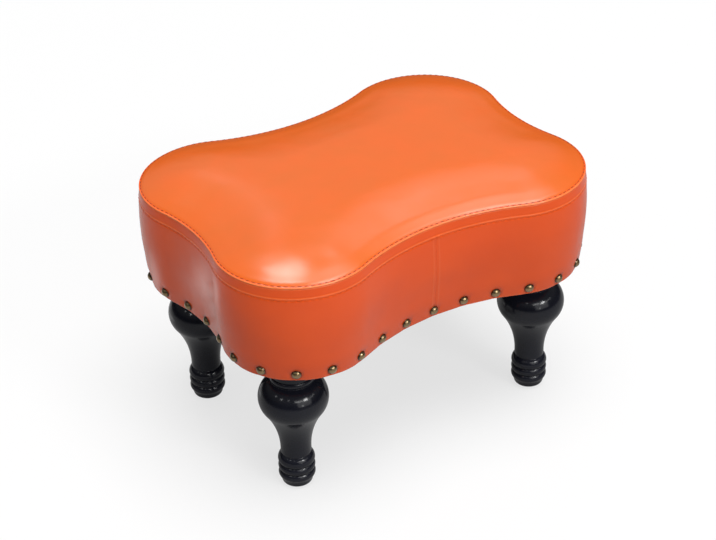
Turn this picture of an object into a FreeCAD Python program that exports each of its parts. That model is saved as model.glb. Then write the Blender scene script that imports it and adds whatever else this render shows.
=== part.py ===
import FreeCAD, Part
import math
import os
import Sketcher
from FreeCAD import Placement, Rotation, Vector

# Footstool: a waisted, leather-covered seat on four turned legs.
# X runs along the seat, Y across it, Z up from the floor under the middle of the seat. Millimetres.

# Driving sizes: alias, value, what it measures
SIZES = [
    ("seat_length", 450.0, "seat along X at the top seam"),
    ("seat_width", 334.0, "seat along Y at the top seam"),
    ("lobe_radius", 88.0, "plan radius of the four rounded corners"),
    ("waist_depth", 29.0, "how far each long side curves in"),
    ("end_depth", 11.0, "how far each short side curves in"),
    ("hem_height", 174.0, "floor to the lower edge of the band"),
    ("band_height", 116.5, "lower edge of the band to the top seam"),
    ("hem_draw", 5.3, "band drawn in at its lower edge"),
    ("nail_draw", 3.9, "band drawn in at the row of nails"),
    ("turn_draw", 1.0, "band drawn in where its side turns upright"),
    ("turn_height", 29.0, "lower edge to where the side turns upright"),
    ("belly_swell", 1.0, "band standing out at its fullest"),
    ("belly_height", 73.0, "lower edge to the fullest part of the band"),
    ("crown_rise", 15.0, "top seam to the top of the crown"),
    ("edge_run", 6.2, "first crown step, inwards from the seam"),
    ("edge_rise", 2.8, "first crown step, up from the seam"),
    ("shoulder_run", 21.0, "second crown step, inwards from the seam"),
    ("shoulder_rise", 7.4, "second crown step, up from the seam"),
    ("slope_run", 44.5, "third crown step, inwards from the seam"),
    ("slope_rise", 12.0, "third crown step, up from the seam"),
    ("plateau_corner", 14.0, "plan radius left at the corners of the crown's flat top"),
    ("leather", 1.2, "thickness of the leather"),
    ("wadding_thickness", 4.0, "thickness of the wadding under the top panel"),
    ("lay_gap", 0.3, "room between soft layers"),
    ("board_thickness", 18.0, "plywood base board"),
    ("hem_turn", 16.0, "leather turned under the board"),
    ("dust_thickness", 0.8, "dust cover sheet"),
    ("dust_inset", 8.0, "lower edge of the band to the rim of the dust cover"),
    ("nail_count", 37.0, "nails round the seat"),
    ("nail_height", 9.0, "lower edge of the band to the nail row"),
    ("nail_head_radius", 5.5, "dome head of a nail"),
    ("nail_head_rise", 3.6, "height of a nail's dome"),
    ("nail_shank_radius", 1.0, "shank of a nail"),
    ("nail_shank_length", 14.0, "shank of a nail, from the underside of its head"),
    ("nail_seat", 0.25, "underside of a nail head to the leather"),
    ("staple_count", 32.0, "staples round the board"),
    ("staple_inset", 11.5, "lower edge of the band to the staples"),
    ("staple_crown", 10.0, "staple from leg to leg, outside"),
    ("staple_wire", 0.8, "thickness of the staple wire"),
    ("staple_depth", 8.0, "length of a staple's legs"),
    ("pierce_gap", 0.05, "room round nail shanks and staple legs"),
    ("leg_setback_x", 64.5, "end of the seat to the leg axis"),
    ("leg_setback_y", 67.5, "side of the seat to the leg axis"),
    ("collar_radius", 24.0, "plain collar at the top of the leg"),
    ("ball_reach", 38.6, "leg axis to the fullest part of the ball"),
    ("ball_radius", 27.0, "radius of the ball's profile"),
    ("ball_height", 116.0, "floor to the fullest part of the ball"),
    ("neck_radius", 17.0, "leg at its slimmest"),
    ("neck_height", 47.0, "floor to the slimmest part of the leg"),
    ("foot_top", 42.5, "floor to the lower end of the neck"),
    ("quirk_radius", 16.2, "fine groove between neck and foot"),
    ("quirk_width", 1.2, "height of that groove"),
    ("bead_radius", 20.5, "leg axis to the crest of a foot bead"),
    ("bead_groove", 18.3, "leg axis to the groove between two beads"),
    ("bead_pitch", 9.4, "crest to crest of the foot beads"),
    ("bead_first", 14.2, "floor to the crest of the lowest bead"),
    ("bead_shoulder", 10.9, "profile radius of the top bead's shoulder"),
    ("plinth_radius", 17.2, "leg just above its rounded base"),
    ("plinth_height", 5.0, "floor to the top of the rounded base"),
    ("plinth_round", 4.0, "profile radius of the rounded base"),
    ("base_radius", 15.2, "flat end of the leg"),
    ("glide_radius", 11.0, "foot glide"),
    ("glide_height", 2.0, "how far the glide stands under the leg"),
    ("glide_round", 0.8, "rounded lower edge of the glide"),
    ("pin_radius", 1.2, "pin of the glide"),
    ("pin_length", 12.0, "pin of the glide, above its disc"),
    ("bolt_radius", 4.0, "hanger bolt"),
    ("bolt_in_leg", 45.0, "hanger bolt inside the leg"),
    ("bolt_point", 6.0, "pointed end of the hanger bolt"),
    ("bolt_in_board", 15.0, "hanger bolt inside the board"),
    ("nut_barrel_radius", 5.2, "barrel of the T-nut"),
    ("nut_barrel_length", 13.0, "barrel of the T-nut, below its flange"),
    ("nut_flange_radius", 10.5, "flange of the T-nut"),
    ("nut_flange", 1.6, "thickness of the flange"),
    ("fit_gap", 0.1, "room round bolts, pins and T-nuts"),
]

SHEET = "Sizes"
# Sketcher's codes for the points of an edge and for the sketch axes
START, FINISH, CENTRE = 1, 2, 3
X_AXIS, Y_AXIS = -1, -2
NAMED_SIDES = [("front_left", -1, -1), ("front_right", 1, -1), ("back_left", -1, 1), ("back_right", 1, 1)]


class Size:
    """A dimension held as a number and as the sheet expression that gives it."""

    def __init__(self, value, text):
        self.value = value
        self.text = text

    def _with(self, sign, other, value):
        return Size(value, f"({self.text} {sign} {other.text})")

    def __add__(self, other):
        other = as_size(other)
        return self._with("+", other, self.value + other.value)

    def __sub__(self, other):
        other = as_size(other)
        return self._with("-", other, self.value - other.value)

    def __mul__(self, other):
        other = as_size(other)
        return self._with("*", other, self.value * other.value)

    def __truediv__(self, other):
        other = as_size(other)
        return self._with("/", other, self.value / other.value)

    def __neg__(self):
        return Size(-self.value, f"(-1 * {self.text})")

    def root(self):
        return Size(math.sqrt(self.value), f"sqrt({self.text})")


def as_size(term):
    if isinstance(term, Size):
        return term
    return Size(float(term), str(float(term)))


def fill_sheet(doc):
    """Writes the driving sizes into the sheet, one row each, with their aliases."""
    sheet = doc.addObject("Spreadsheet::Sheet", SHEET)
    for row, (alias, value, note) in enumerate(SIZES, start=1):
        sheet.set(f"A{row}", alias)
        sheet.set(f"B{row}", str(value))
        sheet.setAlias(f"B{row}", alias)
        sheet.set(f"C{row}", note)
    doc.recompute()
    return {alias: Size(float(sheet.get(alias)), f"{SHEET}.{alias}") for alias, value, note in SIZES}


doc = FreeCAD.newDocument("footstool")
sizes = fill_sheet(doc)
ZERO = as_size(0)

# Plan of the seat: four convex lobes joined by four hollow sides, all tangent

lobe_x = sizes["seat_length"] / 2 - sizes["lobe_radius"]
lobe_y = sizes["seat_width"] / 2 - sizes["lobe_radius"]


def hollow_radius(across, depth):
    """Radius of the hollow side that touches two lobes, each 'across' from its middle."""
    lobe = sizes["lobe_radius"]
    inner = lobe - depth
    return (across * across + inner * inner - lobe * lobe) / (depth * 2)


waist_radius = hollow_radius(lobe_x, sizes["waist_depth"])
end_radius = hollow_radius(lobe_y, sizes["end_depth"])
waist_centre = sizes["seat_width"] / 2 - sizes["waist_depth"] + waist_radius
end_centre = sizes["seat_length"] / 2 - sizes["end_depth"] + end_radius
waist_turn = math.atan2(waist_centre.value - lobe_y.value, lobe_x.value)
end_turn = math.atan2(lobe_y.value, end_centre.value - lobe_x.value)

# Heights, from the floor up

board_bottom = sizes["hem_height"] + sizes["leather"]
board_top = board_bottom + sizes["board_thickness"]
leg_top = board_bottom - sizes["dust_thickness"]
seam_height = sizes["hem_height"] + sizes["band_height"]
belly_level = sizes["hem_height"] + sizes["belly_height"]
turn_level = sizes["hem_height"] + sizes["turn_height"]
nail_level = sizes["hem_height"] + sizes["nail_height"]
leg_x = sizes["seat_length"] / 2 - sizes["leg_setback_x"]
leg_y = sizes["seat_width"] / 2 - sizes["leg_setback_y"]

# Band: how far it is drawn in at each level, from the lower edge to the seam

BAND_LEVELS = [
    (sizes["hem_height"], sizes["hem_draw"]),
    (nail_level, sizes["nail_draw"]),
    (turn_level, sizes["turn_draw"]),
    (belly_level, -sizes["belly_swell"]),
    (seam_height, ZERO),
]
board_inset = sizes["hem_draw"] + sizes["leather"] + sizes["lay_gap"]


def crown_levels(depth):
    """Sections of the crown on a surface that lies 'depth' inside the leather's face."""
    plateau_run = sizes["lobe_radius"] - sizes["plateau_corner"]
    # Run, rise and how much of the depth is taken off the rise: none at the seam, all of it on the flat top
    steps = [
        (ZERO, ZERO, 0.0),
        (sizes["edge_run"], sizes["edge_rise"], 0.35),
        (sizes["shoulder_run"], sizes["shoulder_rise"], 0.8),
        (sizes["slope_run"], sizes["slope_rise"], 0.85),
        (plateau_run, sizes["crown_rise"], 1.0),
    ]
    return [(seam_height + rise - depth * drop, run + depth) for run, rise, drop in steps]


# Sketch helpers

def new_body(name):
    body = doc.addObject("PartDesign::Body", name)
    body.Label = name
    return body


def new_sketch(body, name, role, level=None):
    """A sketch on one of the body's own origin planes, raised to a level where one is given."""
    sketch = body.newObject("Sketcher::SketchObject", name)
    plane = [feature for feature in body.Origin.OriginFeatures if feature.Role == role][0]
    sketch.AttachmentSupport = [(plane, "")]
    sketch.MapMode = "FlatFace"
    if level is not None:
        sketch.AttachmentOffset = Placement(Vector(0, 0, level.value), Rotation())
        sketch.setExpression("AttachmentOffset.Base.z", level.text)
    return sketch


def bind(sketch, kind, *terms):
    """Adds a dimension whose last term is a Size, and ties it to the sheet."""
    *places, size = terms
    index = sketch.addConstraint(Sketcher.Constraint(kind, *places, size.value))
    sketch.setExpression(f"Constraints[{index}]", size.text)


def arc(x, y, radius, first, last):
    return Part.ArcOfCircle(Part.Circle(Vector(x, y, 0), Vector(0, 0, 1), radius), first, last)


def add_outline(sketch, inset):
    """Draws the seat's plan, moved inwards by inset: eight tangent arcs."""
    lobe = sizes["lobe_radius"] - inset
    waist = waist_radius + inset
    end = end_radius + inset
    x = lobe_x.value
    y = lobe_y.value
    low = waist_turn - math.pi
    lobes = []
    for centre_x, centre_y, first, last in (
        (x, -y, low, end_turn),
        (x, y, -end_turn, -low),
        (-x, y, math.pi + low, math.pi + end_turn),
        (-x, -y, math.pi - end_turn, math.pi - low),
    ):
        lobes.append(sketch.addGeometry(arc(centre_x, centre_y, lobe.value, first, last)))
    right = sketch.addGeometry(arc(end_centre.value, 0, end.value, math.pi - end_turn, math.pi + end_turn))
    back = sketch.addGeometry(arc(0, waist_centre.value, waist.value, math.pi + waist_turn, -waist_turn))
    left = sketch.addGeometry(arc(-end_centre.value, 0, end.value, -end_turn, end_turn))
    front = sketch.addGeometry(arc(0, -waist_centre.value, waist.value, waist_turn, math.pi - waist_turn))
    for lobe_arc, hollow, next_lobe in (
        (lobes[0], right, lobes[1]),
        (lobes[1], back, lobes[2]),
        (lobes[2], left, lobes[3]),
        (lobes[3], front, lobes[0]),
    ):
        sketch.addConstraint(Sketcher.Constraint("Tangent", lobe_arc, FINISH, hollow, FINISH))
        sketch.addConstraint(Sketcher.Constraint("Tangent", hollow, START, next_lobe, START))
    bind(sketch, "DistanceX", lobes[1], CENTRE, lobe_x)
    bind(sketch, "DistanceY", lobes[1], CENTRE, lobe_y)
    for first, second, axis in ((1, 0, X_AXIS), (1, 2, Y_AXIS), (2, 3, X_AXIS)):
        mirrored = Sketcher.Constraint("Symmetric", lobes[first], CENTRE, lobes[second], CENTRE, axis)
        sketch.addConstraint(mirrored)
    for other in lobes[1:]:
        sketch.addConstraint(Sketcher.Constraint("Equal", lobes[0], other))
    sketch.addConstraint(Sketcher.Constraint("Equal", right, left))
    sketch.addConstraint(Sketcher.Constraint("Equal", front, back))
    bind(sketch, "Radius", lobes[0], lobe)
    bind(sketch, "Radius", right, end)
    bind(sketch, "Radius", front, waist)


def outline_sketch(body, name, level, *insets):
    sketch = new_sketch(body, name, "XY_Plane", level)
    for inset in insets:
        add_outline(sketch, inset)
    return sketch


def add_leg_circles(sketch, radius):
    """Four circles of one radius on the leg axes."""
    for name, side_x, side_y in NAMED_SIDES:
        centre = Vector(side_x * leg_x.value, side_y * leg_y.value, 0)
        circle = sketch.addGeometry(Part.Circle(centre, Vector(0, 0, 1), radius.value))
        bind(sketch, "DistanceX", circle, CENTRE, leg_x * side_x)
        bind(sketch, "DistanceY", circle, CENTRE, leg_y * side_y)
        bind(sketch, "Radius", circle, radius)


def arc_by_ends(first, last, radius, bulge):
    """Arc between two (across, up) corners that bulges to the left or the right on the way to the last."""
    start = Vector(first[0].value, first[1].value, 0)
    finish = Vector(last[0].value, last[1].value, 0)
    chord = finish - start
    left = Vector(-chord.y, chord.x, 0).normalize()
    reach = math.sqrt(radius.value ** 2 - (chord.Length / 2) ** 2)
    centre = (start + finish) / 2 + left * (-reach if bulge == "left" else reach)
    if bulge == "left":
        start, finish = finish, start
    first_angle = math.atan2(start.y - centre.y, start.x - centre.x)
    last_angle = math.atan2(finish.y - centre.y, finish.x - centre.x)
    return arc(centre.x, centre.y, radius.value, first_angle, last_angle)


def turned_sketch(body, name, corners):
    """Half section for turning, on the XZ plane. Each corner is (radius, height) and may end with the
    radius and the side of the arc that leads to the next corner."""
    sketch = new_sketch(body, name, "XZ_Plane")
    count = len(corners)
    ends = []
    for index, corner in enumerate(corners):
        following = corners[(index + 1) % count]
        if len(corner) == 2:
            start = Vector(corner[0].value, corner[1].value, 0)
            finish = Vector(following[0].value, following[1].value, 0)
            edge = sketch.addGeometry(Part.LineSegment(start, finish))
            ends.append((edge, START, FINISH))
            continue
        edge = sketch.addGeometry(arc_by_ends(corner, following, corner[2], corner[3]))
        ends.append((edge, FINISH, START) if corner[3] == "left" else (edge, START, FINISH))
    for index in range(count):
        edge, start, finish = ends[index]
        following, next_start, next_finish = ends[(index + 1) % count]
        sketch.addConstraint(Sketcher.Constraint("Coincident", edge, finish, following, next_start))
    for (edge, start, finish), corner in zip(ends, corners):
        bind(sketch, "DistanceX", edge, start, corner[0])
        bind(sketch, "DistanceY", edge, start, corner[1])
        if len(corner) > 2:
            bind(sketch, "Radius", edge, corner[2])
    return sketch


# Feature helpers

def extrude(kind, body, name, sketch, length):
    """A Pad upwards or a Pocket downwards from the sketch."""
    feature = body.newObject(f"PartDesign::{kind}", name)
    feature.Profile = sketch
    feature.Length = length.value
    feature.setExpression("Length", length.text)


def loft(body, name, levels, subtractive=False):
    """Smooth loft through the seat's plan at each (height, inset)."""
    sections = []
    for index, (level, inset) in enumerate(levels):
        sections.append(outline_sketch(body, f"{name}_section_{index}", level, inset))
    kind = "PartDesign::SubtractiveLoft" if subtractive else "PartDesign::AdditiveLoft"
    feature = body.newObject(kind, name)
    feature.Profile = sections[0]
    feature.Sections = sections[1:]
    feature.Ruled = False


def turn(name, corners):
    """A body turned about its own Z axis."""
    body = new_body(name)
    sketch = turned_sketch(body, f"{name}_section", corners)
    feature = body.newObject("PartDesign::Revolution", f"{name}_turning")
    feature.Profile = sketch
    feature.ReferenceAxis = (sketch, ["V_Axis"])
    feature.Angle = 360
    return body


def place(body, x, y):
    body.Placement = Placement(Vector(x.value, y.value, 0), Rotation())
    body.setExpression("Placement.Base.x", x.text)
    body.setExpression("Placement.Base.y", y.text)


def cut(name, base, tool):
    feature = doc.addObject("Part::Cut", name)
    feature.Label = name
    feature.Base = base
    feature.Tool = tool
    return feature


def group(name, solids):
    """Separate solids kept together under one name."""
    feature = doc.addObject("Part::Feature", name)
    feature.Label = name
    feature.Shape = Part.makeCompound(solids)
    return feature


# Places round the seat, for what is driven in at even steps

def plan_runs(inset):
    """The plan as runs (centre x, centre y, radius, first angle, last angle, outward sign), from the front
    middle towards +X."""
    x = lobe_x.value
    y = lobe_y.value
    lobe = sizes["lobe_radius"].value - inset
    waist = waist_radius.value + inset
    end = end_radius.value + inset
    quarter = math.pi / 2
    low = waist_turn - math.pi
    return [
        (0, -waist_centre.value, waist, quarter, waist_turn, -1),
        (x, -y, lobe, low, end_turn, 1),
        (end_centre.value, 0, end, math.pi + end_turn, math.pi - end_turn, -1),
        (x, y, lobe, -end_turn, -low, 1),
        (0, waist_centre.value, waist, -waist_turn, waist_turn - math.pi, -1),
        (-x, y, lobe, math.pi + low, math.pi + end_turn, 1),
        (-end_centre.value, 0, end, end_turn, -end_turn, -1),
        (-x, -y, lobe, math.pi - end_turn, math.pi - low, 1),
        (0, -waist_centre.value, waist, math.pi - waist_turn, quarter, -1),
    ]


def places_round(inset, count, offset=0.0):
    """Points and outward directions at even steps along the plan; offset shifts them by a share of a step."""
    runs = plan_runs(inset)
    lengths = [run[2] * abs(run[4] - run[3]) for run in runs]
    step = sum(lengths) / count
    found = []
    for index in range(count):
        distance = (index + offset) * step
        for run, length in zip(runs, lengths):
            if distance <= length:
                break
            distance -= length
        centre_x, centre_y, radius, first, last, sign = run
        angle = first + (last - first) * distance / length
        ray = Vector(math.cos(angle), math.sin(angle), 0)
        found.append((Vector(centre_x, centre_y, 0) + ray * radius, ray * sign))
    return found


def nail_placements():
    """Seats of the nails, +Z out of the leather."""
    slope = (sizes["hem_draw"].value - sizes["turn_draw"].value) / sizes["turn_height"].value
    placements = []
    for point, outward in places_round(sizes["nail_draw"].value, round(sizes["nail_count"].value)):
        axis = (outward - Vector(0, 0, slope)).normalize()
        seat = point + Vector(0, 0, nail_level.value) + axis * sizes["nail_seat"].value
        placements.append(Placement(seat, Rotation(Vector(0, 0, 1), axis)))
    return placements


def staple_placements():
    """Seats of the staples under the dust cover, +X along the rim, +Z up into the board."""
    inset = sizes["hem_draw"].value + sizes["staple_inset"].value
    level = sizes["hem_height"].value - sizes["dust_thickness"].value
    placements = []
    for point, outward in places_round(inset, round(sizes["staple_count"].value), 0.5):
        turned = math.degrees(math.atan2(outward.y, outward.x)) + 90
        placements.append(Placement(point + Vector(0, 0, level), Rotation(Vector(0, 0, 1), turned)))
    return placements


def placed(shape, placements):
    return [shape.transformed(placement.toMatrix(), True) for placement in placements]


# Fasteners driven through the cover

def nail_shape():
    radius = sizes["nail_head_radius"].value
    rise = sizes["nail_head_rise"].value
    dome = (radius ** 2 + rise ** 2) / (2 * rise)
    flank = math.sqrt(dome ** 2 - (radius / 2) ** 2) - (dome - rise)
    underside = Part.makePolygon([Vector(0, 0, rise), Vector(0, 0, 0), Vector(radius, 0, 0)])
    crown = Part.Arc(Vector(radius, 0, 0), Vector(radius / 2, 0, flank), Vector(0, 0, rise)).toShape()
    head = Part.Face(Part.Wire(underside.Edges + [crown])).revolve(Vector(), Vector(0, 0, 1), 360)
    length = sizes["nail_shank_length"].value
    shank = Part.makeCylinder(sizes["nail_shank_radius"].value, length, Vector(0, 0, -length))
    return Part.makeSolid(head.Shells[0]).fuse(shank).removeSplitter()


def nail_hole_shape():
    gap = sizes["pierce_gap"].value
    seat = sizes["nail_seat"].value
    length = sizes["nail_shank_length"].value + gap + seat
    radius = sizes["nail_shank_radius"].value + gap
    return Part.makeCylinder(radius, length, Vector(0, 0, seat - length))


def staple_legs(gap):
    wire = sizes["staple_wire"].value + 2 * gap
    reach = (sizes["staple_crown"].value - sizes["staple_wire"].value) / 2
    legs = []
    for side in (-1, 1):
        corner = Vector(side * reach - wire / 2, -wire / 2, 0)
        legs.append(Part.makeBox(wire, wire, sizes["staple_depth"].value + gap, corner))
    return legs


def staple_shape():
    wire = sizes["staple_wire"].value
    crown_length = sizes["staple_crown"].value
    crown = Part.makeBox(crown_length, wire, wire, Vector(-crown_length / 2, -wire / 2, -wire))
    return crown.multiFuse(staple_legs(0)).removeSplitter()


nail_seats = nail_placements()
staple_seats = staple_placements()
nails = group("upholstery_nails", placed(nail_shape(), nail_seats))
staples = group("staples", placed(staple_shape(), staple_seats))
nail_holes = group("nail_holes", placed(nail_hole_shape(), nail_seats))
staple_slots = group("staple_slots", placed(Part.makeCompound(staple_legs(sizes["pierce_gap"].value)),
                                            staple_seats))
piercings = doc.addObject("Part::Compound", "piercings")
piercings.Links = [nail_holes, staple_slots]


# Base board: plywood, bored for the T-nuts

def make_base_board():
    blank = new_body("base_board_blank")
    extrude("Pad", blank, "board", outline_sketch(blank, "board_plan", board_bottom, board_inset),
            sizes["board_thickness"])
    barrels = new_sketch(blank, "barrel_plan", "XY_Plane", board_top)
    add_leg_circles(barrels, sizes["nut_barrel_radius"] + sizes["fit_gap"])
    extrude("Pocket", blank, "barrel_bores", barrels, sizes["board_thickness"])
    flanges = new_sketch(blank, "flange_plan", "XY_Plane", board_top)
    add_leg_circles(flanges, sizes["nut_flange_radius"] + sizes["fit_gap"])
    extrude("Pocket", blank, "flange_seats", flanges, sizes["nut_flange"])
    return cut("base_board", blank, piercings)


# Soft filling

def seat_levels(depth):
    """Sections of the seat's sides on a surface that lies 'depth' inside the leather's face."""
    return [(level, draw + depth) for level, draw in BAND_LEVELS]


def trim_below(body, name, level, length):
    """Cuts the whole plan away from a level down."""
    extrude("Pocket", body, name, outline_sketch(body, f"{name}_plan", level, -sizes["belly_swell"]), length)


def make_firm_foam():
    body = new_body("firm_foam")
    loft(body, "firm_block", seat_levels(sizes["leather"] + sizes["lay_gap"]))
    trim_below(body, "firm_top", seam_height, sizes["band_height"] - sizes["belly_height"])
    trim_below(body, "firm_seat", board_top, board_top - sizes["hem_height"])
    return body


def make_top_foam():
    body = new_body("top_foam")
    depth = sizes["leather"] + sizes["lay_gap"]
    loft(body, "top_block", seat_levels(depth))
    loft(body, "foam_crown", crown_levels(depth + sizes["wadding_thickness"] + sizes["lay_gap"]))
    trim_below(body, "top_seat", belly_level, sizes["belly_height"])
    return body


def make_wadding():
    body = new_body("wadding")
    depth = sizes["leather"] + sizes["lay_gap"]
    loft(body, "wadding_face", crown_levels(depth))
    loft(body, "wadding_hollow", crown_levels(depth + sizes["wadding_thickness"]), subtractive=True)
    return body


# Leather cover

def make_top_panel():
    body = new_body("cover_top_panel")
    loft(body, "panel_face", crown_levels(ZERO))
    loft(body, "panel_hollow", crown_levels(sizes["leather"]), subtractive=True)
    return body


def make_bands():
    """The band with its turned-under hem, pierced for nails and staples and parted at the middle seams."""
    blank = new_body("band_blank")
    loft(blank, "band_face", seat_levels(ZERO))
    loft(blank, "band_hollow", seat_levels(sizes["leather"]), subtractive=True)
    hem = outline_sketch(blank, "hem_plan", sizes["hem_height"], sizes["hem_draw"] + sizes["leather"] / 2,
                         sizes["hem_draw"] + sizes["hem_turn"])
    extrude("Pad", blank, "hem", hem, sizes["leather"])
    pierced = cut("band_pierced", blank, piercings)
    halves = []
    for name, side in (("cover_band_left", -1), ("cover_band_right", 1)):
        half = doc.addObject("Part::Box", f"{name}_half")
        half.setExpression("Length", sizes["seat_length"].text)
        half.setExpression("Width", (sizes["seat_width"] * 2).text)
        half.setExpression("Height", (seam_height * 2).text)
        half.setExpression("Placement.Base.x", (sizes["seat_length"] * ((side - 1) / 2)).text)
        half.setExpression("Placement.Base.y", (-sizes["seat_width"]).text)
        band = doc.addObject("Part::Common", name)
        band.Label = name
        band.Base = pierced
        band.Tool = half
        halves.append(band)
    return halves


# Dust cover: stapled over the hem, stepped up to the board inside it

def make_dust_cover():
    blank = new_body("dust_cover_blank")
    thickness = sizes["dust_thickness"]
    low = sizes["hem_height"] - thickness
    rim = sizes["hem_draw"] + sizes["dust_inset"]
    step = sizes["hem_draw"] + sizes["hem_turn"] + sizes["lay_gap"]
    extrude("Pad", blank, "rim", outline_sketch(blank, "rim_plan", low, rim, step + thickness), thickness)
    extrude("Pad", blank, "step", outline_sketch(blank, "step_plan", low, step, step + thickness),
            thickness + sizes["leather"])
    extrude("Pad", blank, "middle", outline_sketch(blank, "middle_plan", leg_top, step + thickness / 2),
            thickness)
    bolts = new_sketch(blank, "bolt_plan", "XY_Plane", board_bottom)
    add_leg_circles(bolts, sizes["bolt_radius"] + sizes["fit_gap"])
    extrude("Pocket", blank, "bolt_holes", bolts, thickness)
    return cut("dust_cover", blank, staple_slots)


# Legs and their fastenings

def leg_corners():
    """Half section of the turned leg: bolt bore, collar, ball, cove, three beads and rounded base."""
    ball_axis = sizes["ball_reach"] - sizes["ball_radius"]
    ball_level = sizes["ball_height"]
    aside = sizes["neck_radius"] - ball_axis
    above = ball_level - sizes["neck_height"]
    ball = sizes["ball_radius"]
    cove = (aside * aside + above * above - ball * ball) / ((ball - aside) * 2)
    share = ball / (ball + cove)
    joint_radius = ball_axis + (sizes["neck_radius"] + cove - ball_axis) * share
    joint_level = ball_level - above * share
    collar_reach = sizes["collar_radius"] - ball_axis
    collar_level = ball_level + (ball * ball - collar_reach * collar_reach).root()
    neck_drop = sizes["neck_height"] - sizes["foot_top"]
    neck_foot = sizes["neck_radius"] + cove - (cove * cove - neck_drop * neck_drop).root()
    bore = sizes["bolt_radius"] + sizes["fit_gap"]
    bore_end = leg_top - sizes["bolt_in_leg"] - sizes["fit_gap"]
    pin_bore = sizes["pin_radius"] + sizes["fit_gap"]
    leg_base = sizes["glide_height"]
    pin_end = leg_base + sizes["pin_length"] + sizes["fit_gap"]
    quirk = sizes["quirk_radius"]
    quirk_low = sizes["foot_top"] - sizes["quirk_width"]
    groove = sizes["bead_groove"]
    half_pitch = sizes["bead_pitch"] / 2
    crest = sizes["bead_radius"] - groove
    bead = (half_pitch * half_pitch + crest * crest) / (crest * 2)
    top_bead = sizes["bead_first"] + sizes["bead_pitch"] * 2
    corners = [
        (ZERO, bore_end),
        (bore, bore_end),
        (bore, leg_top),
        (sizes["collar_radius"], leg_top),
        (sizes["collar_radius"], collar_level, ball, "left"),
        (joint_radius, joint_level, cove, "right"),
        (neck_foot, sizes["foot_top"]),
        (quirk, sizes["foot_top"]),
        (quirk, quirk_low, sizes["bead_shoulder"], "left"),
        (sizes["bead_radius"], top_bead, bead, "left"),
    ]
    lower_beads = [
        (groove, top_bead - half_pitch, bead, "left"),
        (groove, top_bead - half_pitch - sizes["bead_pitch"], bead, "left"),
        (groove, sizes["bead_first"] - half_pitch),
    ]
    base = [
        (sizes["plinth_radius"], sizes["plinth_height"], sizes["plinth_round"], "left"),
        (sizes["base_radius"], leg_base),
        (pin_bore, leg_base),
        (pin_bore, pin_end),
        (ZERO, pin_end),
    ]
    return corners + lower_beads + base


def bolt_corners():
    tip = leg_top - sizes["bolt_in_leg"]
    return [
        (ZERO, tip),
        (sizes["bolt_radius"], tip + sizes["bolt_point"]),
        (sizes["bolt_radius"], board_bottom + sizes["bolt_in_board"]),
        (ZERO, board_bottom + sizes["bolt_in_board"]),
    ]


def nut_corners():
    bore = sizes["bolt_radius"] + sizes["fit_gap"]
    flange_low = board_top - sizes["nut_flange"]
    barrel_low = flange_low - sizes["nut_barrel_length"]
    return [
        (bore, barrel_low),
        (sizes["nut_barrel_radius"], barrel_low),
        (sizes["nut_barrel_radius"], flange_low),
        (sizes["nut_flange_radius"], flange_low),
        (sizes["nut_flange_radius"], board_top),
        (bore, board_top),
    ]


def glide_corners():
    disc_top = sizes["glide_height"]
    return [
        (ZERO, ZERO),
        (sizes["glide_radius"] - sizes["glide_round"], ZERO, sizes["glide_round"], "right"),
        (sizes["glide_radius"], sizes["glide_round"]),
        (sizes["glide_radius"], disc_top),
        (sizes["pin_radius"], disc_top),
        (sizes["pin_radius"], disc_top + sizes["pin_length"]),
        (ZERO, disc_top + sizes["pin_length"]),
    ]


def make_leg_sets():
    made = []
    for name, side_x, side_y in NAMED_SIDES:
        for piece, corners in (
            ("leg", leg_corners()),
            ("hanger_bolt", bolt_corners()),
            ("t_nut", nut_corners()),
            ("foot_glide", glide_corners()),
        ):
            body = turn(f"{piece}_{name}", corners)
            place(body, leg_x * side_x, leg_y * side_y)
            made.append(body)
    return made


nodes = [make_base_board(), make_firm_foam(), make_top_foam(), make_wadding(), make_top_panel()]
nodes += make_bands()
nodes += [make_dust_cover(), nails, staples]
nodes += make_leg_sets()
doc.recompute()

# Nothing is written unless every object is sound

for item in doc.Objects:
    if "Invalid" in item.State or "Error" in item.State:
        raise RuntimeError(f"{item.Name} failed: {item.State}")
for node in nodes:
    if node.Shape.isNull() or not node.Shape.isValid() or not node.Shape.Solids:
        raise RuntimeError(f"{node.Label} has no sound solid")

os.makedirs("parts", exist_ok=True)
for node in nodes:
    node.Shape.exportStep(f"parts/{node.Label}.step")
    print(f"{node.Label}: {len(node.Shape.Solids)} solids, {node.Shape.Volume:.1f} mm3")
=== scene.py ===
import math

import bmesh
import bpy
from bpy.props import FloatProperty, FloatVectorProperty, IntProperty, PointerProperty
from bpy.types import NodeSocket, Operator, Panel, PropertyGroup
from mathutils import Matrix, Vector, interpolate, kdtree, noise
from mathutils.bvhtree import BVHTree


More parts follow.
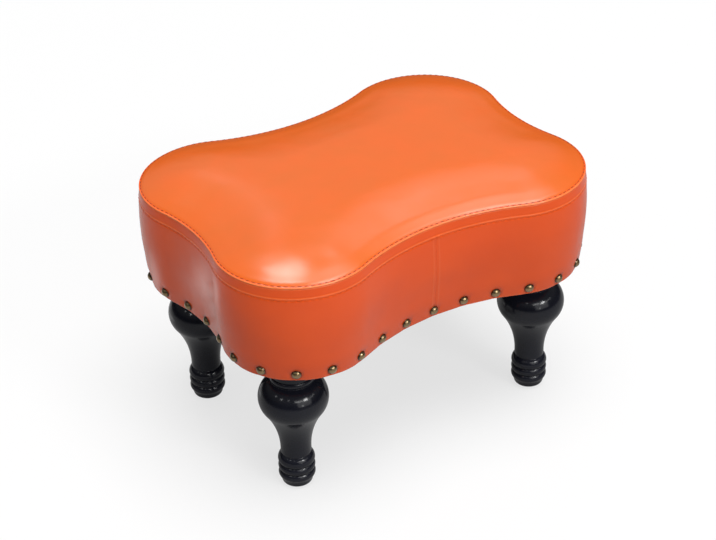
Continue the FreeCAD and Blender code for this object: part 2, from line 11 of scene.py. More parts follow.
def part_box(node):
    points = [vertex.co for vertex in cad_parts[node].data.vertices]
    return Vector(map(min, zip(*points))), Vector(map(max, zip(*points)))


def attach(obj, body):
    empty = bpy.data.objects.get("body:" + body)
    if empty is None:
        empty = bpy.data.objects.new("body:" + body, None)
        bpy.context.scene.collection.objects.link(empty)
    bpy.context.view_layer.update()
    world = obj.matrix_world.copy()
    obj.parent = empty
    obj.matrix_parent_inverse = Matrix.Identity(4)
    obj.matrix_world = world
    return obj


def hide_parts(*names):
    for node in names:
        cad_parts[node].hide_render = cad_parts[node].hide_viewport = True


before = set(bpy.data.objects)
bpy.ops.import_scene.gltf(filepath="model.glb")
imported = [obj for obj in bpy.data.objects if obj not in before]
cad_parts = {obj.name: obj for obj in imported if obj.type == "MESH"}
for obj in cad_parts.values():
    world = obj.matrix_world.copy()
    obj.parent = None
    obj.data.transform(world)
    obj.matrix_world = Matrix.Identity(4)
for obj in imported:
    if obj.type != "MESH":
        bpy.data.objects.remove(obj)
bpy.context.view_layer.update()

bl_info = {
    "name": "Leather Footstool",
    "version": (1, 0, 0),
    "blender": (4, 5, 0),
    "location": "View3D > Sidebar > Footstool",
    "description": "Dresses a waisted leather footstool that stands on turned legs",
    "category": "Add Mesh",
}

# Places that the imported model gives, in metres
PANEL_LOW, PANEL_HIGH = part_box("cover_top_panel")
BAND_LOW, BAND_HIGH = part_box("cover_band_right")
LEG_LOW, LEG_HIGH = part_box("leg_front_right")
DUST_LOW, DUST_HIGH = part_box("dust_cover")
FIRM_LOW, FIRM_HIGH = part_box("firm_foam")

BODY = "root"
SIDES = [("front_left", -1, -1), ("front_right", 1, -1), ("back_left", -1, 1), ("back_right", 1, 1)]
UP = Vector((0.0, 0.0, 1.0))
MM = 0.001


# Settings that a user would change

def size(name, description, metres):
    return FloatProperty(name=name, description=description, default=metres, unit="LENGTH", precision=5)


def tone(name, description, red, green, blue):
    return FloatVectorProperty(name=name, description=description, default=(red, green, blue),
                               subtype="COLOR", size=3, min=0.0, max=1.0)


def turn_of(name, description, degrees):
    return FloatProperty(name=name, description=description, default=math.radians(degrees), subtype="ANGLE")


def share_of(name, description, share):
    return FloatProperty(name=name, description=description, default=share, subtype="FACTOR", min=0.0, max=1.0)


class SeatSizes(PropertyGroup):
    """The seat's plan, its side band and its crown."""
    length: size("Length", "Seat along X at the top seam", PANEL_HIGH.x - PANEL_LOW.x)
    width: size("Width", "Seat along Y at the top seam", PANEL_HIGH.y - PANEL_LOW.y)
    lobe_radius: size("Lobe radius", "Plan radius of the rounded corners", 0.088)
    waist_depth: size("Waist depth", "How far a long side curves in", 0.029)
    end_depth: size("End depth", "How far a short side curves in", 0.011)
    hem_height: size("Hem height", "Floor to the lower edge of the band", BAND_LOW.z)
    seam_height: size("Seam height", "Floor to the top seam", BAND_HIGH.z)
    hem_draw: size("Hem draw", "Band drawn in at its lower edge", 0.0053)
    nail_draw: size("Nail draw", "Band drawn in at the row of nails", 0.0039)
    turn_draw: size("Turn draw", "Band drawn in where its side turns upright", 0.001)
    turn_height: size("Turn height", "Lower edge to where the side turns upright", 0.029)
    belly_swell: size("Belly swell", "Band standing out at its fullest", 0.001)
    belly_height: size("Belly height", "Lower edge to the fullest part of the band", 0.073)
    crown_lip: size("Crown lip", "Radius of the crown's rolled edge at the top seam", 0.0023)
    crown_tilt: turn_of("Crown tilt", "Slope of the crown just inside its rolled edge", 19.5)
    crown_run: size("Crown run", "Top seam inwards to the flat of the crown", 0.078)
    dome: size("Dome", "Most that the padding swells the top", 0.002)
    leather: size("Leather", "Thickness of the leather", 0.0012)
    hem_turn: size("Hem turn", "Leather turned under the board", 0.016)
    hem_fold: size("Hem fold", "Radius of the fold at the lower edge", 0.0016)


class SeamSizes(PropertyGroup):
    """Seams, stitches and the give of the leather around them."""
    lip: size("Lip", "How far the rolled edge stands out at the top seam", 0.0005)
    top_row: size("Top row", "Seam to the stitches on the top panel", 0.003)
    strip: size("Strip", "Height of the strip between the top seam and the band's folded edge", 0.0113)
    strip_lean: size("Strip lean", "How far the strip leans out at its lower edge", 0.0006)
    fold: size("Fold", "How far the band's folded edge stands out from the strip", 0.00025)
    bulge: size("Bulge", "How far the band swells out at half its height", 0.0009)
    band_row: size("Band row", "Folded edge to the stitches under it", 0.0019)
    middle_row: size("Middle row", "Middle seam to the edge of its seam allowance", 0.0037)
    lap: size("Lap", "How far the leather stands out over those edges", 0.0003)
    groove: size("Groove", "How deep stitches sink in", 0.0003)
    pitch: size("Pitch", "From one stitch to the next", 0.007)
    stitch: size("Stitch", "Length of one stitch", 0.0060)
    thread: size("Thread", "Radius of the thread", 0.00048)


class NailSizes(PropertyGroup):
    """The row of dome nails."""
    count: IntProperty(name="Count", description="Nails round the seat", default=37, min=3)
    height: size("Height", "Lower edge of the band to the nails", 0.009)
    head_radius: size("Head radius", "Dome head of a nail", 0.0057)
    head_rise: size("Head rise", "Height of the dome", 0.0046)
    shank_radius: size("Shank radius", "Shank of a nail", 0.001)
    shank_length: size("Shank length", "Underside of the head to the point", 0.014)
    seat_gap: size("Seat gap", "Underside of the head to the plain leather", 0.00025)
    pillow: size("Pillow", "Swell of the leather between the nails", 0.0015)


class LegSizes(PropertyGroup):
    """The turned leg, from its collar to its rounded base."""
    collar_radius: size("Collar radius", "Lower end of the collar at the top", 0.024)
    collar_flare: size("Collar flare", "How much slimmer the collar is at the seat", 0.0028)
    ring_height: size("Ring height", "Height of the ring between collar and ball", 0.0065)
    ring_reach: size("Ring reach", "How far that ring stands out", 0.001)
    ball_reach: size("Ball reach", "Axis to the fullest part of the ball", 0.0386)
    ball_radius: size("Ball radius", "Radius of the ball's profile", 0.027)
    ball_height: size("Ball height", "Floor to the fullest part of the ball", 0.116)
    neck_radius: size("Neck radius", "Leg at its slimmest", 0.017)
    neck_height: size("Neck height", "Floor to the slimmest part", 0.047)
    foot_top: size("Foot top", "Floor to the lower end of the neck", 0.0425)
    quirk_radius: size("Quirk radius", "Fine groove between neck and foot", 0.0162)
    quirk_width: size("Quirk width", "Height of that groove", 0.0012)
    bead_radius: size("Bead radius", "Axis to the crest of a bead", 0.0205)
    bead_groove: size("Bead groove", "Axis to the groove between two beads", 0.0183)
    bead_pitch: size("Bead pitch", "Crest to crest", 0.0094)
    bead_first: size("First bead", "Floor to the crest of the lowest bead", 0.0142)
    bead_shoulder: size("Bead shoulder", "Profile radius of the top bead's shoulder", 0.0109)
    plinth_radius: size("Plinth radius", "Leg just above its rounded base", 0.0172)
    plinth_height: size("Plinth height", "Floor to the top of the rounded base", 0.005)
    plinth_round: size("Plinth round", "Profile radius of the base", 0.004)
    base_radius: size("Base radius", "Flat end of the leg", 0.0152)
    bolt_bore: size("Bolt bore", "Radius of the bore for the hanger bolt", 0.0041)
    bolt_depth: size("Bolt depth", "Depth of that bore", 0.0451)
    pin_bore: size("Pin bore", "Radius of the bore for the glide's pin", 0.0013)
    pin_depth: size("Pin depth", "Depth of that bore", 0.0121)
    edge_round: size("Edge round", "Rounding of the turned edges", 0.0005)


class StageSettings(PropertyGroup):
    """Camera and light."""
    lens: FloatProperty(name="Lens", description="Focal length on a 36 mm sensor", default=99.74, unit="CAMERA")
    azimuth: turn_of("Azimuth", "Camera's turn from the front, towards +X", -32.469)
    elevation: turn_of("Elevation", "Camera above the horizon", 32.959)
    roll: turn_of("Roll", "Camera's tilt", -1.673)
    distance: size("Distance", "Camera to the point it looks at", 2.29164)
    target: FloatVectorProperty(name="Target", description="Point the camera looks at",
                                default=(0.009719, 0.030936, 0.143617), subtype="XYZ", unit="LENGTH")
    ambient: share_of("Ambient", "Even light from all round", 0.22)
    mirrored: share_of("Mirrored", "How white the studio is in reflections, high up", 0.22)
    mirrored_low: share_of("Mirrored low", "How white it is near the horizon", 0.03)
    floor_mirrored: share_of("Floor mirrored", "How white the floor is in reflections", 0.42)
    key: FloatProperty(name="Key", description="Strength of the main lamp", default=3.7, min=0.0)


class FinishColours(PropertyGroup):
    """Colours of the finishes, scene linear."""
    leather: tone("Leather", "Main colour of the leather", 0.92, 0.100, 0.008)
    leather_deep: tone("Leather, deep", "Darker clouds in the leather", 0.87, 0.088, 0.006)
    # Lighter leather for rubbed edges, which also carries painted highlights on edges that catch the light
    leather_worn_and_highlit: tone("Leather, worn", "Rubbed edges of the leather", 1.0, 0.30, 0.10)
    # Painted shade: a darker copy of the leather for the top, toned down for the stronger light that falls on
    # the top
    leather_painted_top_shade: tone("Leather, faded", "Leather of the top, bleached by light", 0.585, 0.105, 0.010)
    # Painted shade in creases, grooves and stitch lines, under the hem and round the nails
    leather_painted_shade: tone("Leather, crease", "Creases and stitch lines", 0.36, 0.055, 0.012)
    dark_thread: tone("Dark thread", "Stitches on the top panel", 0.26, 0.045, 0.012)
    light_thread: tone("Light thread", "Stitches on the band", 0.85, 0.11, 0.015)
    brass: tone("Brass", "Rubbed brass of the nails", 0.32, 0.22, 0.10)
    patina: tone("Patina", "Aged brass of the nails", 0.035, 0.022, 0.009)
    lacquer: tone("Lacquer", "Black lacquer of the legs", 0.0100, 0.0108, 0.0175)
    nylon: tone("Nylon", "Foot glides", 0.012, 0.012, 0.013)
    zinc: tone("Zinc", "Staples, bolts and T-nuts", 0.58, 0.59, 0.60)
    dust_cloth: tone("Dust cloth", "Non-woven sheet under the seat", 0.018, 0.018, 0.020)
    firm_foam: tone("Firm foam", "Dense foam block", 0.55, 0.50, 0.36)
    soft_foam: tone("Soft foam", "Crowned foam", 0.80, 0.74, 0.55)
    wadding: tone("Wadding", "Polyester wadding", 0.86, 0.86, 0.84)
    ply_light: tone("Plywood, light", "Pale grain of the board", 0.58, 0.40, 0.22)
    ply_dark: tone("Plywood, dark", "Dark grain of the board", 0.36, 0.21, 0.10)


class FootstoolSettings(PropertyGroup):
    """Everything that can be set."""
    seat: PointerProperty(type=SeatSizes, name="Seat", description="Plan, side band and crown")
    seams: PointerProperty(type=SeamSizes, name="Seams", description="Seams and stitches")
    nails: PointerProperty(type=NailSizes, name="Nails", description="Row of dome nails")
    legs: PointerProperty(type=LegSizes, name="Legs", description="Turned leg")
    stage: PointerProperty(type=StageSettings, name="Stage", description="Camera and light")
    colours: PointerProperty(type=FinishColours, name="Colours", description="Colours of the finishes")


def settings():
    return bpy.context.scene.footstool


# Plan and profiles of the seat

def hollow_radius(across, lobe, depth):
    """Radius of a hollow side that touches two lobes, each 'across' from its middle."""
    return (across ** 2 + (lobe - depth) ** 2 - lobe ** 2) / (2 * depth)


class Plan:
    """The seat's outline as tangent arcs, from the front middle towards +X and round."""

    def __init__(self, seat):
        lobe = seat.lobe_radius
        x = seat.length / 2 - lobe
        y = seat.width / 2 - lobe
        waist = hollow_radius(x, lobe, seat.waist_depth)
        end = hollow_radius(y, lobe, seat.end_depth)
        waist_y = seat.width / 2 - seat.waist_depth + waist
        end_x = seat.length / 2 - seat.end_depth + end
        waist_turn = math.atan2(waist_y - y, x)
        end_turn = math.atan2(y, end_x - x)
        low = waist_turn - math.pi
        half = math.pi / 2
        # Each run: middle x and y, radius, first and last angle, 1 for a lobe or -1 for a hollow
        self.runs = [
            (0, -waist_y, waist, half, waist_turn, -1),
            (x, -y, lobe, low, end_turn, 1),
            (end_x, 0, end, math.pi + end_turn, math.pi - end_turn, -1),
            (x, y, lobe, -end_turn, -low, 1),
            (0, waist_y, waist, -waist_turn, waist_turn - math.pi, -1),
            (-x, y, lobe, math.pi + low, math.pi + end_turn, 1),
            (-end_x, 0, end, end_turn, -end_turn, -1),
            (-x, -y, lobe, math.pi - end_turn, math.pi - low, 1),
            (0, -waist_y, waist, math.pi - waist_turn, half, -1),
        ]
        self.lengths = self.run_lengths(0.0)
        self.total = sum(self.lengths)
        self.lobe_middle = self.lengths[0] + self.lengths[1] / 2

    def run_lengths(self, inset):
        return [(run[2] - run[5] * inset) * abs(run[4] - run[3]) for run in self.runs]

    def place(self, distance):
        """Point on the outline and its outward direction."""
        distance %= self.total
        for run, length in zip(self.runs, self.lengths):
            if distance <= length:
                break
            distance -= length
        centre_x, centre_y, radius, first, last, sign = run
        angle = first + (last - first) * min(distance / length, 1.0)
        ray = Vector((math.cos(angle), math.sin(angle), 0.0))
        return Vector((centre_x, centre_y, 0.0)) + ray * radius, ray * sign

    def even(self, count, inset=0.0, shift=0.0):
        """Distances along the outline whose points are evenly spaced at an inset."""
        inner = self.run_lengths(inset)
        step = sum(inner) / count
        found = []
        for index in range(count):
            rest = (index + shift) * step
            start = 0.0
            for length, inner_length in zip(self.lengths, inner):
                if rest <= inner_length:
                    break
                rest -= inner_length
                start += length
            found.append(start + length * rest / inner_length)
        return found


class Profile:
    """A line of (outward, height) points that is read by the distance along it."""

    def __init__(self, points):
        self.points = [Vector(point) for point in points]
        self.distances = running_lengths(self.points)
        self.total = self.distances[-1]

    def at(self, distance):
        """Point and the direction that faces out of the leather."""
        last = len(self.points) - 2
        index = 0
        while index < last and self.distances[index + 1] < distance:
            index += 1
        before, after = self.points[index], self.points[index + 1]
        along = (after - before).normalized()
        point = before + along * (distance - self.distances[index])
        return point, Vector((along.y, -along.x))


def running_lengths(points):
    """Distance along a line at each of its points."""
    reach = [0.0]
    for before, after in zip(points, points[1:]):
        reach.append(reach[-1] + (after - before).length)
    return reach


def smooth_through(knots, value):
    """A smooth curve through (place, amount) knots, read at a place."""
    places = [knot[0] for knot in knots]
    amounts = [knot[1] for knot in knots]
    slopes = []
    for index in range(len(knots)):
        low = max(index - 1, 0)
        high = min(index + 1, len(knots) - 1)
        slopes.append((amounts[high] - amounts[low]) / (places[high] - places[low]))
    index = 0
    while index < len(knots) - 2 and value > places[index + 1]:
        index += 1
    span = places[index + 1] - places[index]
    share = (value - places[index]) / span
    square = share * share
    cube = square * share
    return (amounts[index] * (2 * cube - 3 * square + 1) + slopes[index] * span * (cube - 2 * square + share)
            + amounts[index + 1] * (3 * square - 2 * cube) + slopes[index + 1] * span * (cube - square))


def bump(distance, width):
    """A soft hill that is 1 at distance 0 and fades over width."""
    return math.exp(-(distance / width) ** 2)


def fade(value, low, high):
    """0 below low, 1 above high, smooth between."""
    share = min(max((value - low) / (high - low), 0.0), 1.0)
    return share * share * (3 - 2 * share)


def graded(total, fine, coarse, growth, both_ends=True):
    """Distances from 0 to total whose steps grow from fine at the ends to coarse between."""
    half = total / 2 if both_ends else total
    steps = []
    reach = 0.0
    step = fine
    while reach < half:
        steps.append(step)
        reach += step
        step = min(step * growth, coarse)
    scale = half / reach
    first = [0.0]
    for step in steps:
        first.append(first[-1] + step * scale)
    if not both_ends:
        return first
    return first + [total - place for place in reversed(first[:-1])]


def undulation(point, waves):
    """Slow unevenness of hand-stretched leather, from (depth, wave) rows."""
    return sum(depth * noise.noise(point / wave) for depth, wave in waves)


# Pieces and their placing

def set_values(target, values):
    for key, value in values.items():
        setattr(target, key, value)


def deselect():
    bpy.ops.object.select_all(action="DESELECT")


def make_active(piece):
    deselect()
    piece.select_set(True)
    bpy.context.view_layer.objects.active = piece


def linked(name, data):
    """A new object that is in the scene."""
    piece = bpy.data.objects.new(name, data)
    bpy.context.scene.collection.objects.link(piece)
    return piece


def remove_piece(piece):
    mesh = piece.data
    bpy.data.objects.remove(piece)
    bpy.data.meshes.remove(mesh)


def mesh_piece(name, points, faces):
    mesh = bpy.data.meshes.new(name)
    mesh.from_pydata(points, [], faces)
    mesh.shade_smooth()
    return linked(name, mesh)


def apply_modifier(piece, kind, **values):
    modifier = piece.modifiers.new(kind.title(), kind)
    set_values(modifier, values)
    make_active(piece)
    bpy.ops.object.modifier_apply(modifier=modifier.name)


def smooth_by_angle(piece, degrees):
    make_active(piece)
    bpy.ops.object.shade_smooth_by_angle(angle=math.radians(degrees))


def give_attribute(piece, name, values):
    attribute = piece.data.attributes.new(name, "FLOAT", "POINT")
    attribute.data.foreach_set("value", values)


def give_finish(piece, finish):
    piece.data.materials.clear()
    piece.data.materials.append(shared_finish(finish))


def finish_piece(piece, finish, *nodes, slot=None):
    """Gives the finish, ties the piece to the frame and hides the CAD nodes that it stands for."""
    give_finish(piece, finish)
    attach(piece, BODY)
    if nodes:
        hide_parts(*nodes)
    return piece


def copies_joined(name, model, matrices):
    """One piece made of copies of a modelled piece, which is then removed."""
    joined = bmesh.new()
    for matrix in matrices:
        copy = model.data.copy()
        copy.transform(matrix)
        joined.from_mesh(copy)
        bpy.data.meshes.remove(copy)
    mesh = bpy.data.meshes.new(name)
    joined.to_mesh(mesh)
    joined.free()
    remove_piece(model)
    return linked(name, mesh)


def frame_matrix(along, across, out, place):
    """Matrix whose X, Y and Z axes are the given directions."""
    turn = Matrix((along, across, out)).transposed().to_4x4()
    return Matrix.Translation(place) @ turn


def turned_piece(name, line, steps):
    """A line of (radius, height) points, extruded from one vertex and spun about Z."""
    deselect()
    bpy.ops.mesh.primitive_plane_add(size=MM)
    piece = bpy.context.object
    piece.name = name
    bpy.ops.object.mode_set(mode="EDIT")
    bpy.ops.mesh.select_all(action="SELECT")
    bpy.ops.mesh.merge(type="CENTER")
    bpy.ops.transform.translate(value=(line[0][0], 0.0, line[0][1]))
    for before, after in zip(line, line[1:]):
        step = (after[0] - before[0], 0.0, after[1] - before[1])
        bpy.ops.mesh.extrude_region_move(TRANSFORM_OT_translate={"value": step})
    bpy.ops.mesh.select_all(action="SELECT")
    bpy.ops.mesh.spin(steps=steps, angle=math.tau, center=(0.0, 0.0, 0.0), axis=UP)
    bpy.ops.mesh.select_all(action="SELECT")
    bpy.ops.mesh.remove_doubles(threshold=MM / 1000)
    bpy.ops.mesh.normals_make_consistent(inside=False)
    bpy.ops.object.mode_set(mode="OBJECT")
    return piece


def arc_radius(half_chord, rise):
    """Radius of an arc that rises so far over its chord."""
    return (half_chord ** 2 + rise ** 2) / (2 * rise)


def arc_between(first, last, radius, count, bulge=1):
    """Points of an arc from first to last, both (radius, height), that bulges left (1) or right (-1)."""
    start = Vector(first)
    finish = Vector(last)
    chord = finish - start
    left = Vector((-chord.y, chord.x)).normalized()
    reach = math.sqrt(max(radius ** 2 - (chord.length / 2) ** 2, 0.0))
    centre = (start + finish) / 2 - left * (reach * bulge)
    first_angle = math.atan2(start.y - centre.y, start.x - centre.x)
    last_angle = math.atan2(finish.y - centre.y, finish.x - centre.x)
    sweep = (last_angle - first_angle + math.pi) % math.tau - math.pi
    points = []
    for index in range(count):
        angle = first_angle + sweep * index / count
        points.append((centre.x + radius * math.cos(angle), centre.y + radius * math.sin(angle)))
    return points


# Finishes

class Nodes:
    """The nodes of a material or a world, led to its one shader."""

    def __init__(self, owner, shader, space):
        owner.use_nodes = True
        self.owner = owner
        self.tree = owner.node_tree
        self.shader = self.tree.nodes[shader]
        self.place = self.add("TexCoord")[space]

    def fill(self, socket, value):
        """Joins a socket to another one, or gives it a plain value or colour."""
        if isinstance(value, NodeSocket):
            self.tree.links.new(value, socket)
        elif socket.type == "RGBA":
            socket.default_value = (*value, 1.0)
        else:
            socket.default_value = value

    def add(self, kind, inputs=None, **values):
        """Adds a node, sets its values, fills its inputs and gives its outputs."""
        node = self.tree.nodes.new(f"ShaderNode{kind}")
        set_values(node, values)
        for key, value in (inputs or {}).items():
            self.fill(node.inputs[key], value)
        return node.outputs

    def shade(self, **inputs):
        """Fills the shader's own sockets, whose spaces are written as underscores."""
        for key, value in inputs.items():
            self.fill(self.shader.inputs[key.replace("_", " ")], value)

    def attribute(self, name):
        return self.add("Attribute", attribute_name=name)["Fac"]

    def ray(self, kind):
        return self.add("LightPath")[f"Is {kind} Ray"]

    def cloud(self, scale, detail=3.0, roughness=0.5, stretch=None):
        """Noise from 0 to 1 whose features are about 1 / scale metres wide."""
        place = self.place
        if stretch:
            place = self.add("Mapping", {"Vector": place, "Scale": stretch})["Vector"]
        inputs = {"Vector": place, "Scale": scale, "Detail": detail, "Roughness": roughness}
        return self.add("TexNoise", inputs)["Fac"]

    def cells(self, scale, randomness=1.0, feature="F1"):
        """Distance to the middle of the nearest cell."""
        inputs = {"Vector": self.place, "Scale": scale, "Randomness": randomness}
        return self.add("TexVoronoi", inputs, feature=feature)["Distance"]

    def remap(self, value, low, high, to_low=0.0, to_high=1.0):
        inputs = {"Value": value, "From Min": low, "From Max": high, "To Min": to_low, "To Max": to_high}
        return self.add("MapRange", inputs)["Result"]

    def spread(self, cloud, to_low=0.0, to_high=1.0):
        """The middle of a cloud's range, where most of it lies, spread over another range."""
        return self.remap(cloud, 0.3, 0.7, to_low, to_high)

    def mix(self, factor, first, second):
        """Mix of two colours, each a socket or a plain colour."""
        return self.add("Mix", {"Factor": factor, 6: first, 7: second}, data_type="RGBA")[2]

    def combine(self, operation, first, second):
        return self.add("Math", {0: first, 1: second}, operation=operation)[0]

    def combine_places(self, operation, output, *places):
        return self.add("VectorMath", dict(enumerate(places)), operation=operation)[output]

    def relief(self, height, strength, depth):
        inputs = {"Height": height, "Strength": strength, "Distance": depth}
        self.shade(Normal=self.add("Bump", inputs)["Normal"])


def new_finish(name, **constants):
    """The nodes of a new material, with plain values for some of its shader's sockets."""
    nodes = Nodes(bpy.data.materials.new(f"{name}_finish"), "Principled BSDF", "Object")
    nodes.shade(**constants)
    return nodes


def tinted(colour, factor):
    return [channel * factor for channel in colour]


def leather_finish(name, colours):
    """Smooth coated leather: slow clouds, fine pebble grain, rubbed edges with painted highlights, painted shade
    in creases and round the nails, and a darker painted-shade copy on the top.
    """
    nodes = new_finish(name, Specular_IOR_Level=0.5)
    wear = nodes.attribute("wear")
    patches = nodes.spread(nodes.cloud(30.0, 4.0), 0.87, 1.0)
    # Painted shade: the top panel takes the darker copy of the leather because more light falls on it, patchy
    # over slow clouds
    faded = nodes.combine("MULTIPLY", nodes.attribute("faded"), patches)
    scuffs = nodes.spread(nodes.cloud(160.0), 0.6, 1.0)
    # Lighter edges, partly rubbed wear and partly painted highlight, patchy with scuffs
    rubbed = nodes.combine("MULTIPLY", nodes.remap(wear, 0.0, 1.0), scuffs)
    # Painted shade: the negative part of the attribute, in creases, grooves, the seam's tuck, under the hem and
    # round the nails
    painted_shade = nodes.remap(wear, 0.0, -1.0)
    skin = nodes.mix(nodes.spread(nodes.cloud(14.0)), colours.leather_deep, colours.leather)
    skin = nodes.mix(faded, skin, colours.leather_painted_top_shade)
    skin = nodes.mix(rubbed, skin, colours.leather_worn_and_highlit)
    skin = nodes.mix(painted_shade, skin, colours.leather_painted_shade)
    nodes.shade(Base_Color=skin, Roughness=nodes.spread(nodes.cloud(35.0, 4.0), 0.20, 0.27))
    pebble = nodes.cells(1100.0, feature="SMOOTH_F1")
    grain = nodes.combine("ADD", pebble, nodes.combine("MULTIPLY", nodes.cloud(500.0), 0.8))
    nodes.relief(grain, 0.045, 0.0002)
    return nodes.owner


def thread_finish(name, colours):
    """Waxed sewing thread with a fine twist."""
    nodes = new_finish(name, Roughness=0.7, Specular_IOR_Level=0.15)
    twist = nodes.cloud(2500.0, 2.0)
    colour = getattr(colours, name)
    nodes.shade(Base_Color=nodes.mix(nodes.spread(twist), tinted(colour, 0.6), colour))
    nodes.relief(twist, 0.4, 0.0001)
    return nodes.owner


def brass_finish(name, colours):
    """Antique brass: dark patina, rubbed bright on the crown of each dome."""
    nodes = new_finish(name, Metallic=1.0, Coat_Weight=0.7, Coat_Roughness=0.2)
    spots = nodes.remap(nodes.cloud(420.0, 4.0), 0.35, 0.65, -0.25, 0.15)
    rubbed = nodes.remap(nodes.combine("ADD", nodes.attribute("rub"), spots), 0.0, 1.0)
    nodes.shade(Base_Color=nodes.mix(rubbed, colours.patina, colours.brass),
                Roughness=nodes.remap(rubbed, 0.0, 1.0, 0.36, 0.30))
    nodes.relief(nodes.cloud(900.0), 0.05, 0.0002)
    return nodes.owner


def lacquer_finish(name, colours):
    """Black gloss lacquer on turned wood: faint turning lines and brushed unevenness."""
    nodes = new_finish(name, Specular_IOR_Level=0.3)
    rings = nodes.cloud(60.0, 5.0, 0.6, stretch=(1.0, 1.0, 9.0))
    dust = nodes.remap(nodes.cloud(700.0, 2.0), 0.62, 0.8, 0.0, 0.25)
    nodes.shade(Base_Color=nodes.mix(dust, colours.lacquer, tinted(colours.lacquer, 4.0)),
                Roughness=nodes.spread(rings, 0.10, 0.20))
    nodes.relief(rings, 0.10, 0.0006)
    return nodes.owner


def nylon_finish(name, colours):
    """Moulded black nylon."""
    nodes = new_finish(name)
    mottle = nodes.cloud(900.0)
    nodes.shade(Base_Color=nodes.mix(mottle, colours.nylon, tinted(colours.nylon, 2.0)),
                Roughness=nodes.spread(mottle, 0.45, 0.6))
    nodes.relief(mottle, 0.2, 0.0001)
    return nodes.owner


def zinc_finish(name, colours):
    """Bright zinc plate with a little staining."""
    nodes = new_finish(name, Metallic=1.0)
    stain = nodes.cloud(260.0, 5.0)
    nodes.shade(Base_Color=nodes.mix(stain, tinted(colours.zinc, 0.6), colours.zinc),
                Roughness=nodes.spread(stain, 0.28, 0.45))
    nodes.relief(nodes.cloud(1500.0), 0.1, 0.0001)
    return nodes.owner


def dust_cloth_finish(name, colours):
    """Black spun-bonded sheet: flat fibres and a lattice of bonded points."""
    nodes = new_finish(name, Specular_IOR_Level=0.3, Sheen_Weight=0.1)
    fibres = nodes.cloud(900.0, 6.0, 0.7)
    bonds = nodes.remap(nodes.cells(420.0, randomness=0.15), 0.1, 0.35)
    height = nodes.combine("MULTIPLY", fibres, bonds)
    nodes.shade(Base_Color=nodes.mix(height, colours.dust_cloth, tinted(colours.dust_cloth, 2.4)),
                Roughness=nodes.spread(fibres, 0.7, 0.9))
    nodes.relief(height, 0.4, 0.0003)
    return nodes.owner


FOAM_CELLS = {"firm_foam": 900.0, "soft_foam": 600.0}


def foam_finish(name, colours):
    """Cut foam with open cells."""
    nodes = new_finish(name, Roughness=0.95, Specular_IOR_Level=0.2)
    cells = nodes.cells(FOAM_CELLS[name])
    colour = getattr(colours, name)
    nodes.shade(Base_Color=nodes.mix(cells, tinted(colour, 0.7), colour))
    nodes.relief(cells, 0.5, 0.0008)
    return nodes.owner


def wadding_finish(name, colours):
    """White polyester wadding with loose fibres."""
    nodes = new_finish(name, Roughness=0.9, Sheen_Weight=0.4)
    fibres = nodes.cloud(300.0, 8.0, 0.75)
    nodes.shade(Base_Color=nodes.mix(fibres, tinted(colours.wadding, 0.85), colours.wadding))
    nodes.relief(fibres, 0.6, 0.0015)
    return nodes.owner


def plywood_finish(name, colours):
    """Plywood: long grain on the faces and stripes of plies at the edge."""
    nodes = new_finish(name, Roughness=0.7)
    grain = nodes.cloud(1.0, 6.0, 0.6, stretch=(6.0, 90.0, 300.0))
    nodes.shade(Base_Color=nodes.mix(grain, colours.ply_dark, colours.ply_light))
    nodes.relief(grain, 0.2, 0.0004)
    return nodes.owner


FINISHES = {
    "orange_leather": leather_finish,
    "dark_thread": thread_finish,
    "light_thread": thread_finish,
    "antique_brass": brass_finish,
    "black_lacquer": lacquer_finish,
    "black_nylon": nylon_finish,
    "zinc_steel": zinc_finish,
    "black_nonwoven": dust_cloth_finish,
    "polyester_wadding": wadding_finish,
    "firm_foam": foam_finish,
    "soft_foam": foam_finish,
    "plywood": plywood_finish,
}
MADE_FINISHES = {}


def shared_finish(name):
    """The finish of that name, made the first time it is asked for."""
    if name not in MADE_FINISHES:
        MADE_FINISHES[name] = FINISHES[name](name, settings().colours)
    return MADE_FINISHES[name]


# Leather cover

# Leather at the top seam: tucked in so far, the painted shade on it there, and the height of the band's folded
# edge
SEAM_TUCK = 3.2 * MM
SEAM_SHADE = -0.8
FOLD_EDGE = 1.3 * MM
# Give of the leather round the nails
PILLOW_REACH = 16 * MM
DIMPLE_WIDTH = 7.5 * MM
PUCKER_DEPTH = 0.14 * MM
PUCKER_FOLDS = 5
PUCKER_RING = 8.5 * MM
PUCKER_WIDTH = 3.5 * MM
# Below its folded edge the band settles back over the first span, and unevenness fades in over the others
SETTLE = (40 * MM, 95 * MM)
CALM_SEAM = (6 * MM, 22 * MM)
CALM_HEM = (4 * MM, 20 * MM)
CALM_TOP = (8 * MM, 40 * MM)
# Unevenness of band and top, as depths and waves
BAND_WAVES = [(0.45 * MM, 52 * MM), (0.16 * MM, 19 * MM)]
TOP_WAVES = [(0.5 * MM, 70 * MM), (0.2 * MM, 27 * MM), (0.09 * MM, 12 * MM)]
# Finest step, coarsest step and growth: along the band, up the band and over the crown
BAND_ALONG = (0.35 * MM, 2.4 * MM, 1.22)
BAND_UP = (0.6 * MM, 4.5 * MM, 1.1)
CROWN_OVER = (0.45 * MM, 6.0 * MM, 1.14)
# Steps of a ring along half a long side and half a short side
PANEL_STEPS = (46, 28)
CUSHION_STEPS = (22, 14)
PAD_STEPS = (30, 19)
# The cushion that the cloth simulation blows up
CUSHION_RINGS = 16
CUSHION_SKIRT = 15 * MM
CUSHION_MESH = 5 * MM
CUSHION_HELD = 4 * MM
BLOWN_FRAMES = 20
BLOWN_SPAN = (6 * MM, 11 * MM)
BLOWN_LEAST = 0.05 * MM
EVENING_ROUNDS = 6
CLOTH = {
    "quality": 6,
    "mass": 0.25,
    "tension_stiffness": 30.0,
    "compression_stiffness": 30.0,
    "shear_stiffness": 12.0,
    "bending_stiffness": 4.0,
    "use_pressure": True,
    "uniform_pressure_force": 4.0,
}


